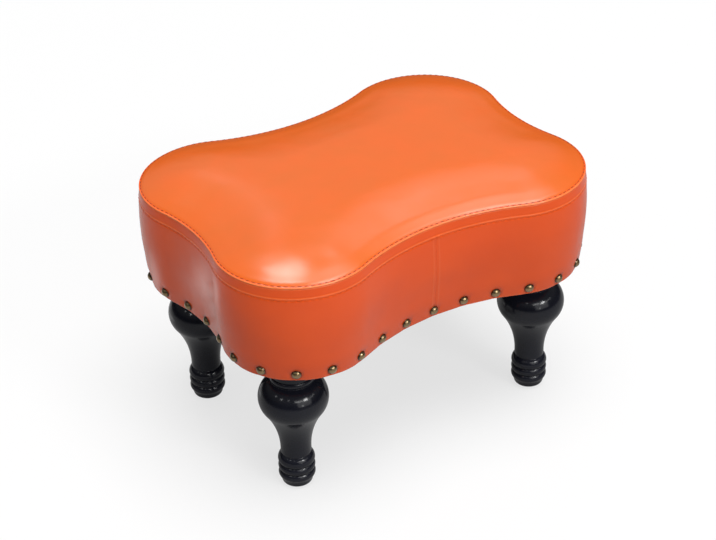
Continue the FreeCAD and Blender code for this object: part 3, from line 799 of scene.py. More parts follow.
def band_draw(seat, nails, height):
    """How far the band is drawn in at a height above its lower edge."""
    return smooth_through([
        (0.0, seat.hem_draw),
        (nails.height, seat.nail_draw),
        (seat.turn_height, seat.turn_draw),
        (seat.belly_height, -seat.belly_swell),
        (seat.seam_height - seat.hem_height, 0.0),
    ], height)


class BandSurface:
    """The outer face of the side band, with its seams, nail dimples and slow unevenness."""

    def __init__(self):
        self.seat = settings().seat
        self.seams = settings().seams
        self.nails = settings().nails
        self.plan = Plan(self.seat)
        self.height = self.seat.seam_height - self.seat.hem_height
        self.nail_places = self.plan.even(self.nails.count, self.seat.nail_draw)

    def to_nail(self, distance):
        """Signed distance along the band to the nearest nail."""
        total = self.plan.total
        gaps = [(distance - place + total / 2) % total - total / 2 for place in self.nail_places]
        return min(gaps, key=abs)

    def to_middle(self, distance):
        """Distance along the band to the nearer middle seam."""
        half = self.plan.total / 2
        return min(distance % half, half - distance % half)

    def swell(self, distance, height, point):
        """How far the leather stands off its plain surface."""
        aside = self.to_nail(distance)
        above = height - self.nails.height
        away = math.hypot(aside, above)
        low = bump(max(above, 0.0), PILLOW_REACH)
        pillow = self.nails.pillow * (1 - bump(away, DIMPLE_WIDTH)) * low
        folds = math.cos(PUCKER_FOLDS * math.atan2(above, aside) + 1.0)
        pucker = PUCKER_DEPTH * folds * bump(away - PUCKER_RING, PUCKER_WIDTH)
        seams = self.seams
        below_seam = self.height - height
        below_fold = below_seam - seams.strip
        on_band = fade(below_fold, -FOLD_EDGE, 0.0)
        strip = seams.strip_lean * min(below_seam / seams.strip, 1.0)
        fold = seams.fold * on_band
        settle = -(seams.strip_lean + seams.fold) * fade(below_fold, *SETTLE)
        bulge = seams.bulge * math.sin(math.pi * height / self.height)
        sewn = -seams.groove * bump(below_fold - seams.band_row, 0.9 * MM)
        middle = self.to_middle(distance)
        lap = seams.lap * bump(middle - seams.middle_row, 0.9 * MM) * on_band
        join = -0.6 * seams.lap * bump(middle, 1.0 * MM) * on_band
        knot = 0.4 * MM * bump(middle, 3.5 * MM) * bump(below_fold - 1.0 * MM, 2.2 * MM)
        calm = fade(below_seam, *CALM_SEAM) * fade(height, *CALM_HEM)
        drift = undulation(point, BAND_WAVES) * calm
        return pillow + pucker + strip + fold + settle + bulge + sewn + lap + join + knot + drift

    def wear(self, distance, height):
        """Rubbed edges with painted highlights (above 0), or painted shade in creases and round the nails (below
        0).
        """
        below_seam = self.height - height
        below_fold = below_seam - self.seams.strip
        middle = self.to_middle(distance)
        on_band = fade(below_fold, -FOLD_EDGE, 0.0)
        # Painted highlight on the band's folded edge, and rubbed wear with a painted highlight on the seam's lip
        rubbed = 0.5 * bump(below_fold + 0.1 * MM, 0.7 * MM) + 0.6 * bump(below_seam, 1.0 * MM)
        # Lighter along the raised edges of the middle seam's allowance: rubbed wear and painted highlight
        rubbed += 0.2 * bump(middle - self.seams.middle_row, 0.7 * MM) * on_band
        # Lighter along the hem's fold: a painted reflection of the floor, with some rubbed wear
        rubbed += 0.55 * bump(height, 1.6 * MM)
        # Painted shade in the crease above the folded edge and in the middle seam's groove
        painted_shade = 0.10 * bump(below_fold + 2.0 * MM, 0.9 * MM) + 0.05 * bump(middle, 0.6 * MM) * on_band
        # Painted shade in the groove of the band's stitches
        painted_shade += 0.05 * bump(below_fold - self.seams.band_row, 0.8 * MM)
        # Painted shadow: a darker ring round each nail head, where the head shades the leather
        away = math.hypot(self.to_nail(distance), height - self.nails.height)
        painted_shade += 0.7 * (1 - fade(away, self.nails.head_radius, self.nails.head_radius + 2.6 * MM))
        return rubbed - painted_shade

    def point(self, distance, height, lift=0.0):
        """Point of the leather's outer face and the direction it faces."""
        place, outward = self.plan.place(distance)
        step = MM / 2
        draw = band_draw(self.seat, self.nails, height)
        slope = (band_draw(self.seat, self.nails, height + step) - draw) / step
        facing = Vector((outward.x, outward.y, slope)).normalized()
        base = place - outward * draw + UP * (self.seat.hem_height + height)
        return base + facing * (self.swell(distance, height, base) + lift), facing


def band_section(surface, distance, heights, inner_heights):
    """One closed section of the band as (point, wear): turned-under hem, outer face and inner face."""
    seat = surface.seat
    place, outward = surface.plan.place(distance)
    base = place + UP * seat.hem_height
    outer = [surface.point(distance, height)[0] for height in heights]
    fold_in = -seat.hem_draw - seat.hem_fold
    fold_run = (outer[0] - place).dot(outward) + seat.hem_draw + seat.hem_fold
    fold_rise = outer[0].z - seat.hem_height
    rows = []
    for share in (1.0, 0.75, 0.5, 0.25, 0.0):
        pleat = 0.35 * MM * math.sin(distance / (2.1 * MM)) ** 2 * bump(share - 0.05, 0.22)
        turned = base + outward * (fold_in - (seat.hem_turn - seat.hem_fold) * share)
        # Painted shade on the hem turned under the board
        rows.append((turned - UP * pleat * fade(share, 0.0, 0.2), -0.15))
    for share in (0.25, 0.5, 0.75):
        angle = share * math.pi / 2
        rise = seat.hem_height + fold_rise * (1 - math.cos(angle))
        # Lighter up the hem's fold: painted reflection of the floor on the rounded edge
        rows.append((place + outward * (fold_in + fold_run * math.sin(angle)) + UP * rise, 0.5 * share))
    rows += [(point, surface.wear(distance, height)) for point, height in zip(outer, heights)]
    top = seat.seam_height - 0.5 * MM
    # Painted shade on the leather tucked into the top seam
    for height in (top, top - seat.leather):
        rows.append((place - outward * SEAM_TUCK + UP * height, SEAM_SHADE))
    for height in inner_heights:
        draw = band_draw(seat, surface.nails, height) + seat.leather
        rows.append((place - outward * draw + UP * (seat.hem_height + height), 0.0))
    rows.append((base - outward * (seat.hem_draw + seat.hem_turn) + UP * seat.leather, 0.0))
    return rows


def ring_faces(levels, count):
    """Faces between neighbouring rings of points."""
    faces = []
    for start in range(0, (levels - 1) * count, count):
        for step in range(count):
            following = (step + 1) % count
            faces.append((start + step, start + following, start + count + following, start + count + step))
    return faces


def make_band(name, side):
    """Half of the side band, from the front middle seam round to the back one."""
    surface = BandSurface()
    seat = surface.seat
    distances = graded(surface.plan.total / 2, *BAND_ALONG)
    fine_step = 0.45 * MM
    fine_steps = 36
    low_part = surface.height - 0.5 * MM - fine_steps * fine_step
    heights = sorted({max(place, seat.hem_fold) for place in graded(low_part, *BAND_UP)})
    heights += [low_part + fine_step * (step + 1) for step in range(fine_steps)]
    inner_heights = [surface.height * share for share in (0.94, 0.8, 0.62, 0.45, 0.3, 0.18, 0.08)]
    inner_heights.append(seat.leather)
    sections = [band_section(surface, side * distance, heights, inner_heights) for distance in distances]
    points = [point for section in sections for point, wear in section]
    count = len(sections[0])
    faces = [(a, d, c, b) for a, b, c, d in ring_faces(len(distances), count)]
    faces.append(tuple(range(count)))
    faces.append(tuple(range(len(points) - count, len(points)))[::-1])
    if side < 0:
        faces = [face[::-1] for face in faces]
    band = mesh_piece(name, points, faces)
    give_attribute(band, "wear", [wear for section in sections for point, wear in section])
    for end in (-1, -2):
        band.data.polygons[end].use_smooth = False
    return band


def crown_line(seat):
    """Points (outward, height) over the crown: a small rolled edge, then a slope that eases to the flat."""
    lip_steps = 24
    slope_steps = 240
    lip, tilt = seat.crown_lip, seat.crown_tilt
    line = []
    for index in range(lip_steps + 1):
        angle = math.pi / 2 + (tilt - math.pi / 2) * index / lip_steps
        line.append((lip * (math.sin(angle) - 1), seat.seam_height + lip * math.cos(angle)))
    out, height = line[-1]
    run = (seat.crown_run + out) / slope_steps
    for index in range(slope_steps):
        out -= run
        height += run * math.tan(tilt * (1 - (index + 0.5) / slope_steps))
        line.append((out, height))
    return line


class PanelSurface:
    """The outer face of the top panel near its seam, read by the distance over the leather."""

    def __init__(self):
        self.seat = settings().seat
        self.seams = settings().seams
        self.plan = Plan(self.seat)
        self.profile = Profile(crown_line(self.seat))
        self.flat = self.profile.points[-1].y

    def drift(self, point):
        """Slow unevenness of the padding."""
        return undulation(Vector((point.x, point.y, 0.0)), TOP_WAVES)

    def flat_height(self, point):
        """Height of the flat of the crown at a point of the plan."""
        return self.flat + self.drift(point)

    def swell(self, over, point):
        """How far the leather stands off its plain surface."""
        lip = self.seams.lip * bump(over - 1.2 * MM, 1.2 * MM)
        groove = -self.seams.groove * bump(over - self.seams.top_row, 0.8 * MM)
        allowance = 0.15 * MM * bump(over - 7.2 * MM, 2.6 * MM)
        return lip + groove + allowance + self.drift(point) * fade(over, *CALM_TOP)

    def wear(self, over):
        """Rubbed rolled edge with a painted highlight (above 0), or painted shade in the stitch groove (below
        0).
        """
        # Rubbed wear with a painted highlight on the lip, painted shade in the stitch groove
        return bump(over - 0.5 * MM, 1.2 * MM) - 0.4 * bump(over - self.seams.top_row, 0.7 * MM)

    def point(self, distance, over, lift=0.0):
        """Point of the leather's outer face and the direction it faces."""
        place, outward = self.plan.place(distance)
        line, facing = self.profile.at(over)
        base = place + outward * line.x + UP * line.y
        direction = (outward * facing.x + UP * facing.y).normalized()
        return base + direction * (self.swell(over, base) + lift), direction


def ring_distances(plan, long_steps, short_steps):
    """Distances round the plan, with stations at every middle and at the middle of every lobe."""
    long_step = plan.lobe_middle / long_steps
    short_step = (plan.total / 4 - plan.lobe_middle) / short_steps
    steps = [long_step] * long_steps + [short_step] * (2 * short_steps) + [long_step] * long_steps
    distances = [0.0]
    for step in steps + steps:
        distances.append(distances[-1] + step)
    return distances[:-1]


def plan_ring(plan, distances, inset, height):
    """A ring of points at an inset from the outline and a height above the floor."""
    ring = []
    for distance in distances:
        place, outward = plan.place(distance)
        ring.append(place - outward * inset + UP * height)
    return ring


def crown_rings(surface, distances, overs):
    """Rings from the seam over the crown to the flat of the top."""
    return [[surface.point(distance, over)[0] for distance in distances] for over in overs]


def filled_rings(rings, long_steps, short_steps, height_of):
    """Points and faces of nested rings, outermost first, whose last ring is filled at the heights given."""
    count = len(rings[0])
    points = [point for ring in rings for point in ring]
    faces = ring_faces(len(rings), count)
    across = 2 * long_steps
    along = 2 * short_steps
    ring_start = len(points) - count
    corner = count - long_steps
    numbers = {}
    for step in range(across + 1):
        numbers[0, step] = ring_start + (corner + step) % count
        numbers[along, step] = ring_start + (corner + 2 * across + along - step) % count
    for low in range(along + 1):
        numbers[low, across] = ring_start + (corner + across + low) % count
        numbers[low, 0] = ring_start + (corner - low) % count
    front, back = ([points[numbers[row, step]] for step in range(across + 1)] for row in (0, along))
    left, right = ([points[numbers[low, column]] for low in range(along + 1)] for column in (0, across))
    front_reach = running_lengths(front)
    left_reach = running_lengths(left)
    for low in range(1, along):
        v = left_reach[low] / left_reach[-1]
        for step in range(1, across):
            u = front_reach[step] / front_reach[-1]
            sides = front[step] * (1 - v) + back[step] * v + left[low] * (1 - u) + right[low] * u
            corners = (front[0] * (1 - u) + front[-1] * u) * (1 - v) + (back[0] * (1 - u) + back[-1] * u) * v
            flat = sides - corners
            flat.z = 0.0
            numbers[low, step] = len(points)
            points.append(flat + UP * height_of(flat))
    for low in range(along):
        for step in range(across):
            faces.append((numbers[low, step], numbers[low, step + 1],
                          numbers[low + 1, step + 1], numbers[low + 1, step]))
    return points, faces


def stacked_rings(rings):
    """Points and faces of a closed stack of rings, lowest first, with a flat face at either end."""
    count = len(rings[0])
    points = [point for ring in rings for point in ring]
    bottom = tuple(range(count))[::-1]
    top = tuple(range(len(points) - count, len(points)))
    return points, [bottom] + ring_faces(len(rings), count) + [top]


def inset_finder(plan):
    """A function that tells how far a point lies inside the outline."""
    count = 720
    tree = kdtree.KDTree(count)
    for index in range(count):
        tree.insert(plan.place(plan.total * index / count)[0], index)
    tree.balance()

    def inset_of(point):
        return tree.find((point.x, point.y, 0.0))[2]

    return inset_of


def blown_moves(surface):
    """How a cloth simulation blows up the crowned cushion: start points, faces and moves."""
    seam = surface.seat.seam_height
    distances = ring_distances(surface.plan, *CUSHION_STEPS)
    overs = [surface.profile.total * step / CUSHION_RINGS for step in range(CUSHION_RINGS + 1)]
    rings = [plan_ring(surface.plan, distances, 0.0, seam - CUSHION_SKIRT)]
    rings += crown_rings(surface, distances, overs)
    cushion = mesh_piece("blown_cushion", *stacked_rings(rings))
    make_active(cushion)
    cushion.data.remesh_voxel_size = CUSHION_MESH
    bpy.ops.object.voxel_remesh()
    held = cushion.vertex_groups.new(name="held")
    low = [vertex.index for vertex in cushion.data.vertices if vertex.co.z < seam + CUSHION_HELD]
    held.add(low, 1.0, "REPLACE")
    start = [vertex.co.copy() for vertex in cushion.data.vertices]
    faces = [list(polygon.vertices) for polygon in cushion.data.polygons]
    modifier = cushion.modifiers.new("Cloth", "CLOTH")
    set_values(modifier.settings, CLOTH)
    modifier.settings.vertex_group_mass = held.name
    modifier.settings.effector_weights.gravity = 0.0
    modifier.collision_settings.use_collision = False
    for number in range(1, BLOWN_FRAMES + 1):
        bpy.context.scene.frame_set(number)
    bpy.ops.object.modifier_apply(modifier=modifier.name)
    moves = [vertex.co - before for vertex, before in zip(cushion.data.vertices, start)]
    remove_piece(cushion)
    bpy.context.scene.frame_set(1)
    return start, faces, moves


def smoothed_moves(faces, moves):
    """The moves evened out between neighbours."""
    near = [set() for move in moves]
    for face in faces:
        for before, after in zip(face, face[1:] + face[:1]):
            near[before].add(after)
            near[after].add(before)
    for number in range(EVENING_ROUNDS):
        evened = []
        for move, around in zip(moves, near):
            if around:
                move = sum((moves[other] for other in around), move * len(around)) / (2 * len(around))
            evened.append(move)
        moves = evened
    return moves


def blow_up(points, surface):
    """Moves the points of the top as the simulated cushion moved, up to a cap."""
    seat = surface.seat
    start, faces, moves = blown_moves(surface)
    moves = smoothed_moves(faces, moves)
    if max(move.length for move in moves) < BLOWN_LEAST:
        raise RuntimeError("the cushion's simulation moved nothing")
    tree = BVHTree.FromPolygons(start, faces)
    blown = []
    for point in points:
        place, _, index, _ = tree.find_nearest(point)
        corners = [start[number] for number in faces[index]]
        shares = interpolate.poly_3d_calc(corners, place)
        move = sum((moves[number] * share for number, share in zip(faces[index], shares)), Vector())
        reach = move.length
        if reach > 0.0:
            move *= seat.dome * math.tanh(reach / seat.dome) / reach
        blown.append(point + move * fade(point.z - seat.seam_height, *BLOWN_SPAN))
    return blown


def make_top_panel():
    """The leather over the crown: a sewn edge, then the crown, blown up a little by a cloth simulation."""
    surface = PanelSurface()
    seat = surface.seat
    plan = surface.plan
    distances = ring_distances(plan, *PANEL_STEPS)
    overs = graded(surface.profile.total, *CROWN_OVER, both_ends=False)
    sewn = seat.seam_height - 0.3 * MM
    rings = [plan_ring(plan, distances, inset, sewn) for inset in (SEAM_TUCK, 1.4 * MM)]
    # Painted shade on the two rings tucked into the seam
    wear = [SEAM_SHADE] * (2 * len(distances))
    # Painted shade over the top: none at the seam, full from 5 mm in
    faded = [0.0] * (2 * len(distances))
    rings += crown_rings(surface, distances, overs)
    for over in overs:
        wear += [surface.wear(over)] * len(distances)
        faded += [fade(over, 1 * MM, 5 * MM)] * len(distances)
    points, faces = filled_rings(rings, *PANEL_STEPS, surface.flat_height)
    points = blow_up(points, surface)
    panel = mesh_piece("top_panel", points, faces)
    inside = len(points) - len(wear)
    give_attribute(panel, "wear", wear + [0.0] * inside)
    give_attribute(panel, "faded", faded + [1.0] * inside)
    apply_modifier(panel, "SUBSURF", levels=1, render_levels=1)
    apply_modifier(panel, "SOLIDIFY", thickness=seat.leather, offset=-1.0)
    return panel


# Inner pads and the sheet underneath

PAD_GAP = 0.5 * MM
PAD_EASE = 1.0 * MM
DUST_CLOTH = 0.8 * MM
DUST_SLACK = 1.8 * MM
DUST_WAVES = [(1.2 * MM, 60 * MM)]


def side_rings(plan, distances, low, high, shares):
    """Rings just inside the band, eased in at the lowest and the highest."""
    seat = settings().seat
    rings = []
    for share in shares:
        height = low + (high - low) * share
        ease = PAD_EASE if share in (0.0, 1.0) else 0.0
        inset = band_draw(seat, settings().nails, height - seat.hem_height) + seat.leather + PAD_GAP + ease
        rings.append(plan_ring(plan, distances, inset, height))
    return rings


def under_rings(surface, distances, depth, overs):
    """Rings at a depth under the leather of the crown."""
    rings = []
    for over in overs:
        line, facing = surface.profile.at(over)
        rings.append(plan_ring(surface.plan, distances, depth * facing.x - line.x, line.y - depth * facing.y))
    return rings


def make_pads():
    """The dense block on the board, the softer crowned foam on it and a thin shell of wadding over that."""
    surface = PanelSurface()
    plan = surface.plan
    distances = ring_distances(plan, *PAD_STEPS)
    end = [surface.profile.total]
    shoulder = surface.seat.seam_height - 2.4 * MM
    block = side_rings(plan, distances, FIRM_LOW.z, FIRM_HIGH.z, (0.0, 0.02, 0.2, 0.4, 0.6, 0.8, 0.98, 1.0))
    crown = side_rings(plan, distances, FIRM_HIGH.z, shoulder, (0.0, 0.02, 0.35, 0.7, 0.97, 1.0))
    crown_overs = [over * MM for over in (3, 7, 12, 18, 26, 38, 55)] + end
    crown += under_rings(surface, distances, 5.9 * MM, crown_overs)
    shell_overs = [over * MM for over in (4, 6, 9, 13, 18, 26, 38, 55)] + end
    shell = under_rings(surface, distances, 5.5 * MM, shell_overs[::-1])
    shell += under_rings(surface, distances, 2.2 * MM, shell_overs)
    rings = {"firm_foam_block": block, "top_foam_crown": crown, "wadding_layer": shell}
    return [mesh_piece(name, *stacked_rings(stack)) for name, stack in rings.items()]


def make_dust_cover():
    """The sheet stapled under the board: over the turned hem, then up to the board, slack in the middle."""
    seat = settings().seat
    plan = Plan(seat)
    distances = ring_distances(plan, *PANEL_STEPS)
    edge = seat.length / 2 - DUST_HIGH.x
    step = seat.hem_draw + seat.hem_turn + 0.3 * MM
    low = DUST_LOW.z
    high = DUST_HIGH.z - DUST_CLOTH
    levels = [(edge, low), (edge + 1.5 * MM, low), (edge + 4 * MM, low), (step - 0.6 * MM, low)]
    levels += [(step + 0.4 * MM, low + 0.1 * MM), (step + 2.2 * MM, high - 0.1 * MM), (step + 3.2 * MM, high)]
    levels += [(inset * MM, high) for inset in (30, 38, 48, 58, 68, 78)]
    rings = [plan_ring(plan, distances, inset, height) for inset, height in levels]
    points, faces = filled_rings(rings, *PANEL_STEPS, lambda point: high)
    middle = (LEG_LOW + LEG_HIGH) / 2
    inset_of = inset_finder(plan)
    for point in points:
        to_leg = math.hypot(abs(point.x) - abs(middle.x), abs(point.y) - abs(middle.y))
        slack = fade(to_leg, 34 * MM, 90 * MM) * fade(inset_of(point), 30 * MM, 80 * MM)
        point.z -= slack * (DUST_SLACK + undulation(point, DUST_WAVES))
    sheet = mesh_piece("dust_sheet", points, [face[::-1] for face in faces])
    apply_modifier(sheet, "SOLIDIFY", thickness=DUST_CLOTH, offset=-1.0)
    cut = rings[0]
    area = abs(sum(a.x * b.y - a.y * b.x for a, b in zip(cut, cut[1:] + cut[:1]))) / 2
    flat = (seat.width - 2 * edge, seat.length - 2 * edge)
    return sheet, flat, area


# Stitches

def stitch_model(seams):
    """One stitch: a rounded thread whose ends dive into the leather."""
    deselect()
    lying = (0.0, math.pi / 2, 0.0)
    bpy.ops.mesh.primitive_uv_sphere_add(segments=8, ring_count=6, radius=1.0, rotation=lying)
    stitch = bpy.context.object
    stitch.name = "stitch"
    stitch.scale = (seams.thread, seams.thread, seams.stitch / 2)
    bpy.ops.object.transform_apply(location=True, rotation=True, scale=True)
    for vertex in stitch.data.vertices:
        share = abs(vertex.co.x) / (seams.stitch / 2)
        vertex.co.z -= seams.thread * 0.9 * share ** 3
    stitch.data.shade_smooth()
    return stitch


def make_stitches(name, surface, level, inset, proud):
    """A row of stitches at one level of the leather, each proud of it by a share of the thread."""
    seams = surface.seams
    count = round(surface.plan.total / seams.pitch)
    matrices = []
    for distance in surface.plan.even(count, inset, 0.5):
        point, facing = surface.point(distance, level, seams.thread * proud)
        along = surface.point(distance + MM, level)[0] - point
        along = (along - facing * along.dot(facing)).normalized()
        matrices.append(frame_matrix(along, facing.cross(along), facing, point))
    return copies_joined(name, stitch_model(seams), matrices)


# Nails

NAIL_STEPS = 28
NAIL_RIM = 0.5 * MM
NAIL_CREASE = 50
RUB_SPAN = (1.0 * MM, 2.8 * MM)


def nail_line(nails):
    """Half section of a nail: domed head with a rounded rim, flat underside, pointed shank."""
    radius, shank = nails.head_radius, nails.shank_radius
    rim = (radius - 0.15 * MM, NAIL_RIM)
    curve = arc_radius(rim[0], nails.head_rise - NAIL_RIM)
    return arc_between((0.0, nails.head_rise), rim, curve, 12) + [
        rim,
        (radius, 0.3 * MM),
        (radius - 0.1 * MM, 0.05 * MM),
        (radius - 0.4 * MM, 0.0),
        (shank, 0.0),
        (shank, -nails.shank_length * 0.8),
        (0.0, -nails.shank_length),
    ]


def make_nails():
    """Turns one nail and sets copies of it round the band, square to its slope."""
    seat = settings().seat
    nails = settings().nails
    plan = Plan(seat)
    slope = (seat.hem_draw - seat.turn_draw) / seat.turn_height
    model = turned_piece("nail", nail_line(nails), NAIL_STEPS)
    smooth_by_angle(model, NAIL_CREASE)
    give_attribute(model, "rub", [fade(vertex.co.z, *RUB_SPAN) for vertex in model.data.vertices])
    level = UP * (seat.hem_height + nails.height)
    matrices = []
    for distance in plan.even(nails.count, seat.nail_draw):
        place, outward = plan.place(distance)
        axis = (outward - UP * slope).normalized()
        centre = place - outward * seat.nail_draw + level + axis * nails.seat_gap
        along = Vector((-outward.y, outward.x, 0.0))
        matrices.append(frame_matrix(along, axis.cross(along), axis, centre))
    return copies_joined("nail_row", model, matrices)


# Legs

LEG_STEPS = 96
LEG_CREASE = 40
LEG_EDGE = math.radians(24)
LEG_TURN = math.radians(37)


def leg_line(legs, top, base):
    """Half section of the leg, from the bolt bore over collar, ball, cove and beads to the pin bore."""
    ball, collar, groove, pitch = legs.ball_radius, legs.collar_radius, legs.bead_groove, legs.bead_pitch
    axis = legs.ball_reach - ball
    aside = legs.neck_radius - axis
    above = legs.ball_height - legs.neck_height
    cove = (aside ** 2 + above ** 2 - ball ** 2) / (2 * (ball - aside))
    share = ball / (ball + cove)
    joint = (axis + (legs.neck_radius + cove - axis) * share, legs.ball_height - above * share)
    drop = legs.neck_height - legs.foot_top
    neck_foot = (legs.neck_radius + cove - math.sqrt(cove ** 2 - drop ** 2), legs.foot_top)
    bolt_end = top - legs.bolt_depth
    pin_end = base + legs.pin_depth
    ring_low = legs.ball_height + math.sqrt(ball ** 2 - (collar - axis) ** 2)
    ring_high = ring_low + legs.ring_height
    ring = arc_radius(legs.ring_height / 2, legs.ring_reach)
    quirk = collar - legs.quirk_width
    quirk_high = ring_high + legs.quirk_width
    bead = arc_radius(pitch / 2, legs.bead_radius - groove)
    shoulder = (legs.quirk_radius, legs.foot_top - legs.quirk_width)
    crest = (legs.bead_radius, legs.bead_first + 2 * pitch)
    grooves = [crest[1] - pitch / 2, crest[1] - pitch / 2 - pitch]
    foot = (legs.base_radius, base)
    line = [(0.0, bolt_end), (legs.bolt_bore, bolt_end), (legs.bolt_bore, top)]
    line += [(collar - legs.collar_flare, top), (collar, quirk_high), (quirk, quirk_high), (quirk, ring_high)]
    line += arc_between((collar, ring_high), (collar, ring_low), ring, 8)
    line += arc_between((collar, ring_low), joint, ball, 30)
    line += arc_between(joint, neck_foot, cove, 24, bulge=-1)
    line += [neck_foot, (legs.quirk_radius, legs.foot_top)]
    line += arc_between(shoulder, crest, legs.bead_shoulder, 9)
    line += arc_between(crest, (groove, grooves[0]), bead, 6)
    for height in grooves:
        line += arc_between((groove, height), (groove, height - pitch), bead, 12)
    line += [(groove, legs.bead_first - pitch / 2)]
    line += arc_between((legs.plinth_radius, legs.plinth_height), foot, legs.plinth_round, 5)
    return line + [foot, (legs.pin_bore, base), (legs.pin_bore, pin_end), (0.0, pin_end)]


def make_legs():
    """Turns one leg, rounds its edges and copies it to the four corners."""
    legs = settings().legs
    model = turned_piece("leg", leg_line(legs, LEG_HIGH.z, LEG_LOW.z), LEG_STEPS)
    apply_modifier(model, "BEVEL", width=legs.edge_round, segments=3, limit_method="ANGLE", angle_limit=LEG_EDGE)
    smooth_by_angle(model, LEG_CREASE)
    middle = (LEG_LOW + LEG_HIGH) / 2
    made = []
    for name, side_x, side_y in SIDES:
        mesh = model.data.copy()
        mesh.name = f"turned_leg_{name}"
        mesh.transform(Matrix.Rotation(LEG_TURN * len(made), 4, "Z"))
        mesh.transform(Matrix.Translation((side_x * abs(middle.x), side_y * abs(middle.y), 0.0)))
        made.append((linked(mesh.name, mesh), f"leg_{name}"))
    remove_piece(model)
    return made


# Stage

# The floor: its size, its glow, and how bright it is mirrored near and far, to the sides and ahead
FLOOR_SIZE = 8.0
FLOOR_GLOW = 0.70
FLOOR_NEAR = 0.7
FLOOR_FAR = 1.8
FLOOR_FAR_SHARE = 0.1
FLOOR_SIDES = 0.6
FLOOR_AHEAD = 1.4
FLOOR_TURN = -6.0
FLOOR_PALE = (0.19, 0.19, 0.19)
FLOOR_DIM = (0.01, 0.01, 0.01)
# A brighter spot of the floor that only the polished pieces mirror
SPOT_PLACE = (-0.325, 0.325, 0.0)
SPOT_CORE = 0.02
SPOT_RIM = 0.10
SPOT_GAIN = 2.4
# Heights between which the mirrored studio turns from dim to white
SKY_LOW = 0.17
SKY_HIGH = 0.45
WHITE = (1.0, 1.0, 1.0)
KEY_PLACE = (15.0, 81.0)
KEY_SPREAD = math.radians(46)
LAMP_AIM = UP * 0.25
LAMP_DISTANCE = 6.0
# Soft lamps as the seat and the legs mirror them: azimuth, elevation, width and height in degrees, brightness
LAMPS = {
    "back_soft": (159, 62.5, 12, 13, 13.5),
    "back_glow": (160, 34, 60, 36, 0.25),
    "side_soft": (78, 72.5, 26, 13, 8.5),
    "side_glow": (114, 60, 18, 13, 3.4),
    "back_small": (135, 47, 5, 6, 4.0),
    "far_small": (158, 35, 5, 5, 1.5),
    "front_window": (12, 30, 12, 7, 28.0),
    "front_wide": (-14, 31, 22, 6, 6.0),
    "front_low": (-4, 9, 4, 5, 8.0),
    "right_pane": (36, 28, 24, 2, 5.0),
    "left_pane": (-76, 35, 6, 4, 12.0),
    "left_near": (-49, 37, 4, 4, 6.0),
    "left_far": (-101, 35, 4, 4, 6.0),
    "front_card": (4, 20, 44, 30, 1.5),
}
REFLECTED_CARDS = ["front_card", "side_soft", "side_glow", "back_soft"]


def bearing(turn, rise):
    """Direction towards a place round the stool: turn 0 is the front and a quarter turn the +X end."""
    return Vector((math.sin(turn) * math.cos(rise), -math.cos(turn) * math.cos(rise), math.sin(rise)))


def seen_share(nodes, mirrored):
    """1 for camera and transmission rays, which show the stage itself, and a share of that in reflections."""
    mirrored = nodes.combine("MULTIPLY", nodes.ray("Glossy"), mirrored)
    share = nodes.combine("MAXIMUM", nodes.ray("Camera"), mirrored)
    return nodes.combine("MAXIMUM", share, nodes.ray("Transmission"))


def make_floor():
    """A pale floor that keeps the shadow and looks white, and that is dimmer far off in reflections."""
    deselect()
    bpy.ops.mesh.primitive_plane_add(size=FLOOR_SIZE)
    floor = bpy.context.object
    floor.name = "floor"
    nodes = new_finish("pale_floor", Roughness=1.0, Specular_IOR_Level=0.0, Emission_Color=WHITE)
    reach = nodes.combine_places("LENGTH", "Value", nodes.place)
    near = nodes.remap(reach, FLOOR_NEAR, FLOOR_FAR, 1.0, FLOOR_FAR_SHARE)
    way = nodes.combine_places("NORMALIZE", "Vector", nodes.place)
    lean = nodes.combine_places("DOT_PRODUCT", "Value", way, bearing(math.radians(FLOOR_TURN), 0.0))
    ahead = nodes.combine("MULTIPLY", lean, lean)
    off_spot = nodes.combine_places("DISTANCE", "Value", nodes.place, SPOT_PLACE)
    level = nodes.combine("ADD", nodes.remap(ahead, 0.0, 1.0, FLOOR_SIDES, FLOOR_AHEAD),
                          nodes.remap(off_spot, SPOT_CORE, SPOT_RIM, SPOT_GAIN, 0.0))
    dimmed = nodes.combine("MULTIPLY", nodes.ray("Glossy"), nodes.combine("SUBTRACT", 1.0, near))
    lit = nodes.combine("MULTIPLY", near, level)
    seen = seen_share(nodes, nodes.combine("MULTIPLY", lit, settings().stage.floor_mirrored))
    nodes.shade(Base_Color=nodes.mix(dimmed, FLOOR_PALE, FLOOR_DIM),
                Emission_Strength=nodes.combine("MULTIPLY", seen, FLOOR_GLOW))
    floor.data.materials.append(nodes.owner)


def make_world():
    """Even light all round, white where it is seen."""
    stage = settings().stage
    world = bpy.data.worlds.new("studio")
    bpy.context.scene.world = world
    nodes = Nodes(world, "Background", "Generated")
    rise = nodes.add("SeparateXYZ", {0: nodes.place})["Z"]
    mirrored = nodes.remap(rise, SKY_LOW, SKY_HIGH, stage.mirrored_low, stage.mirrored)
    unseen = nodes.remap(nodes.ray("Glossy"), 0.0, 1.0, stage.ambient, mirrored)
    nodes.shade(Color=WHITE, Strength=nodes.remap(seen_share(nodes, 0.0), 0.0, 1.0, unseen, 1.0))


def add_lamp(name, kind, azimuth, elevation, **values):
    data = bpy.data.lights.new(name, kind)
    set_values(data, values)
    lamp = linked(name, data)
    towards = bearing(math.radians(azimuth), math.radians(elevation))
    lamp.location = LAMP_AIM + towards * LAMP_DISTANCE
    lamp.rotation_euler = towards.to_track_quat("Z", "Y").to_euler()
    return lamp


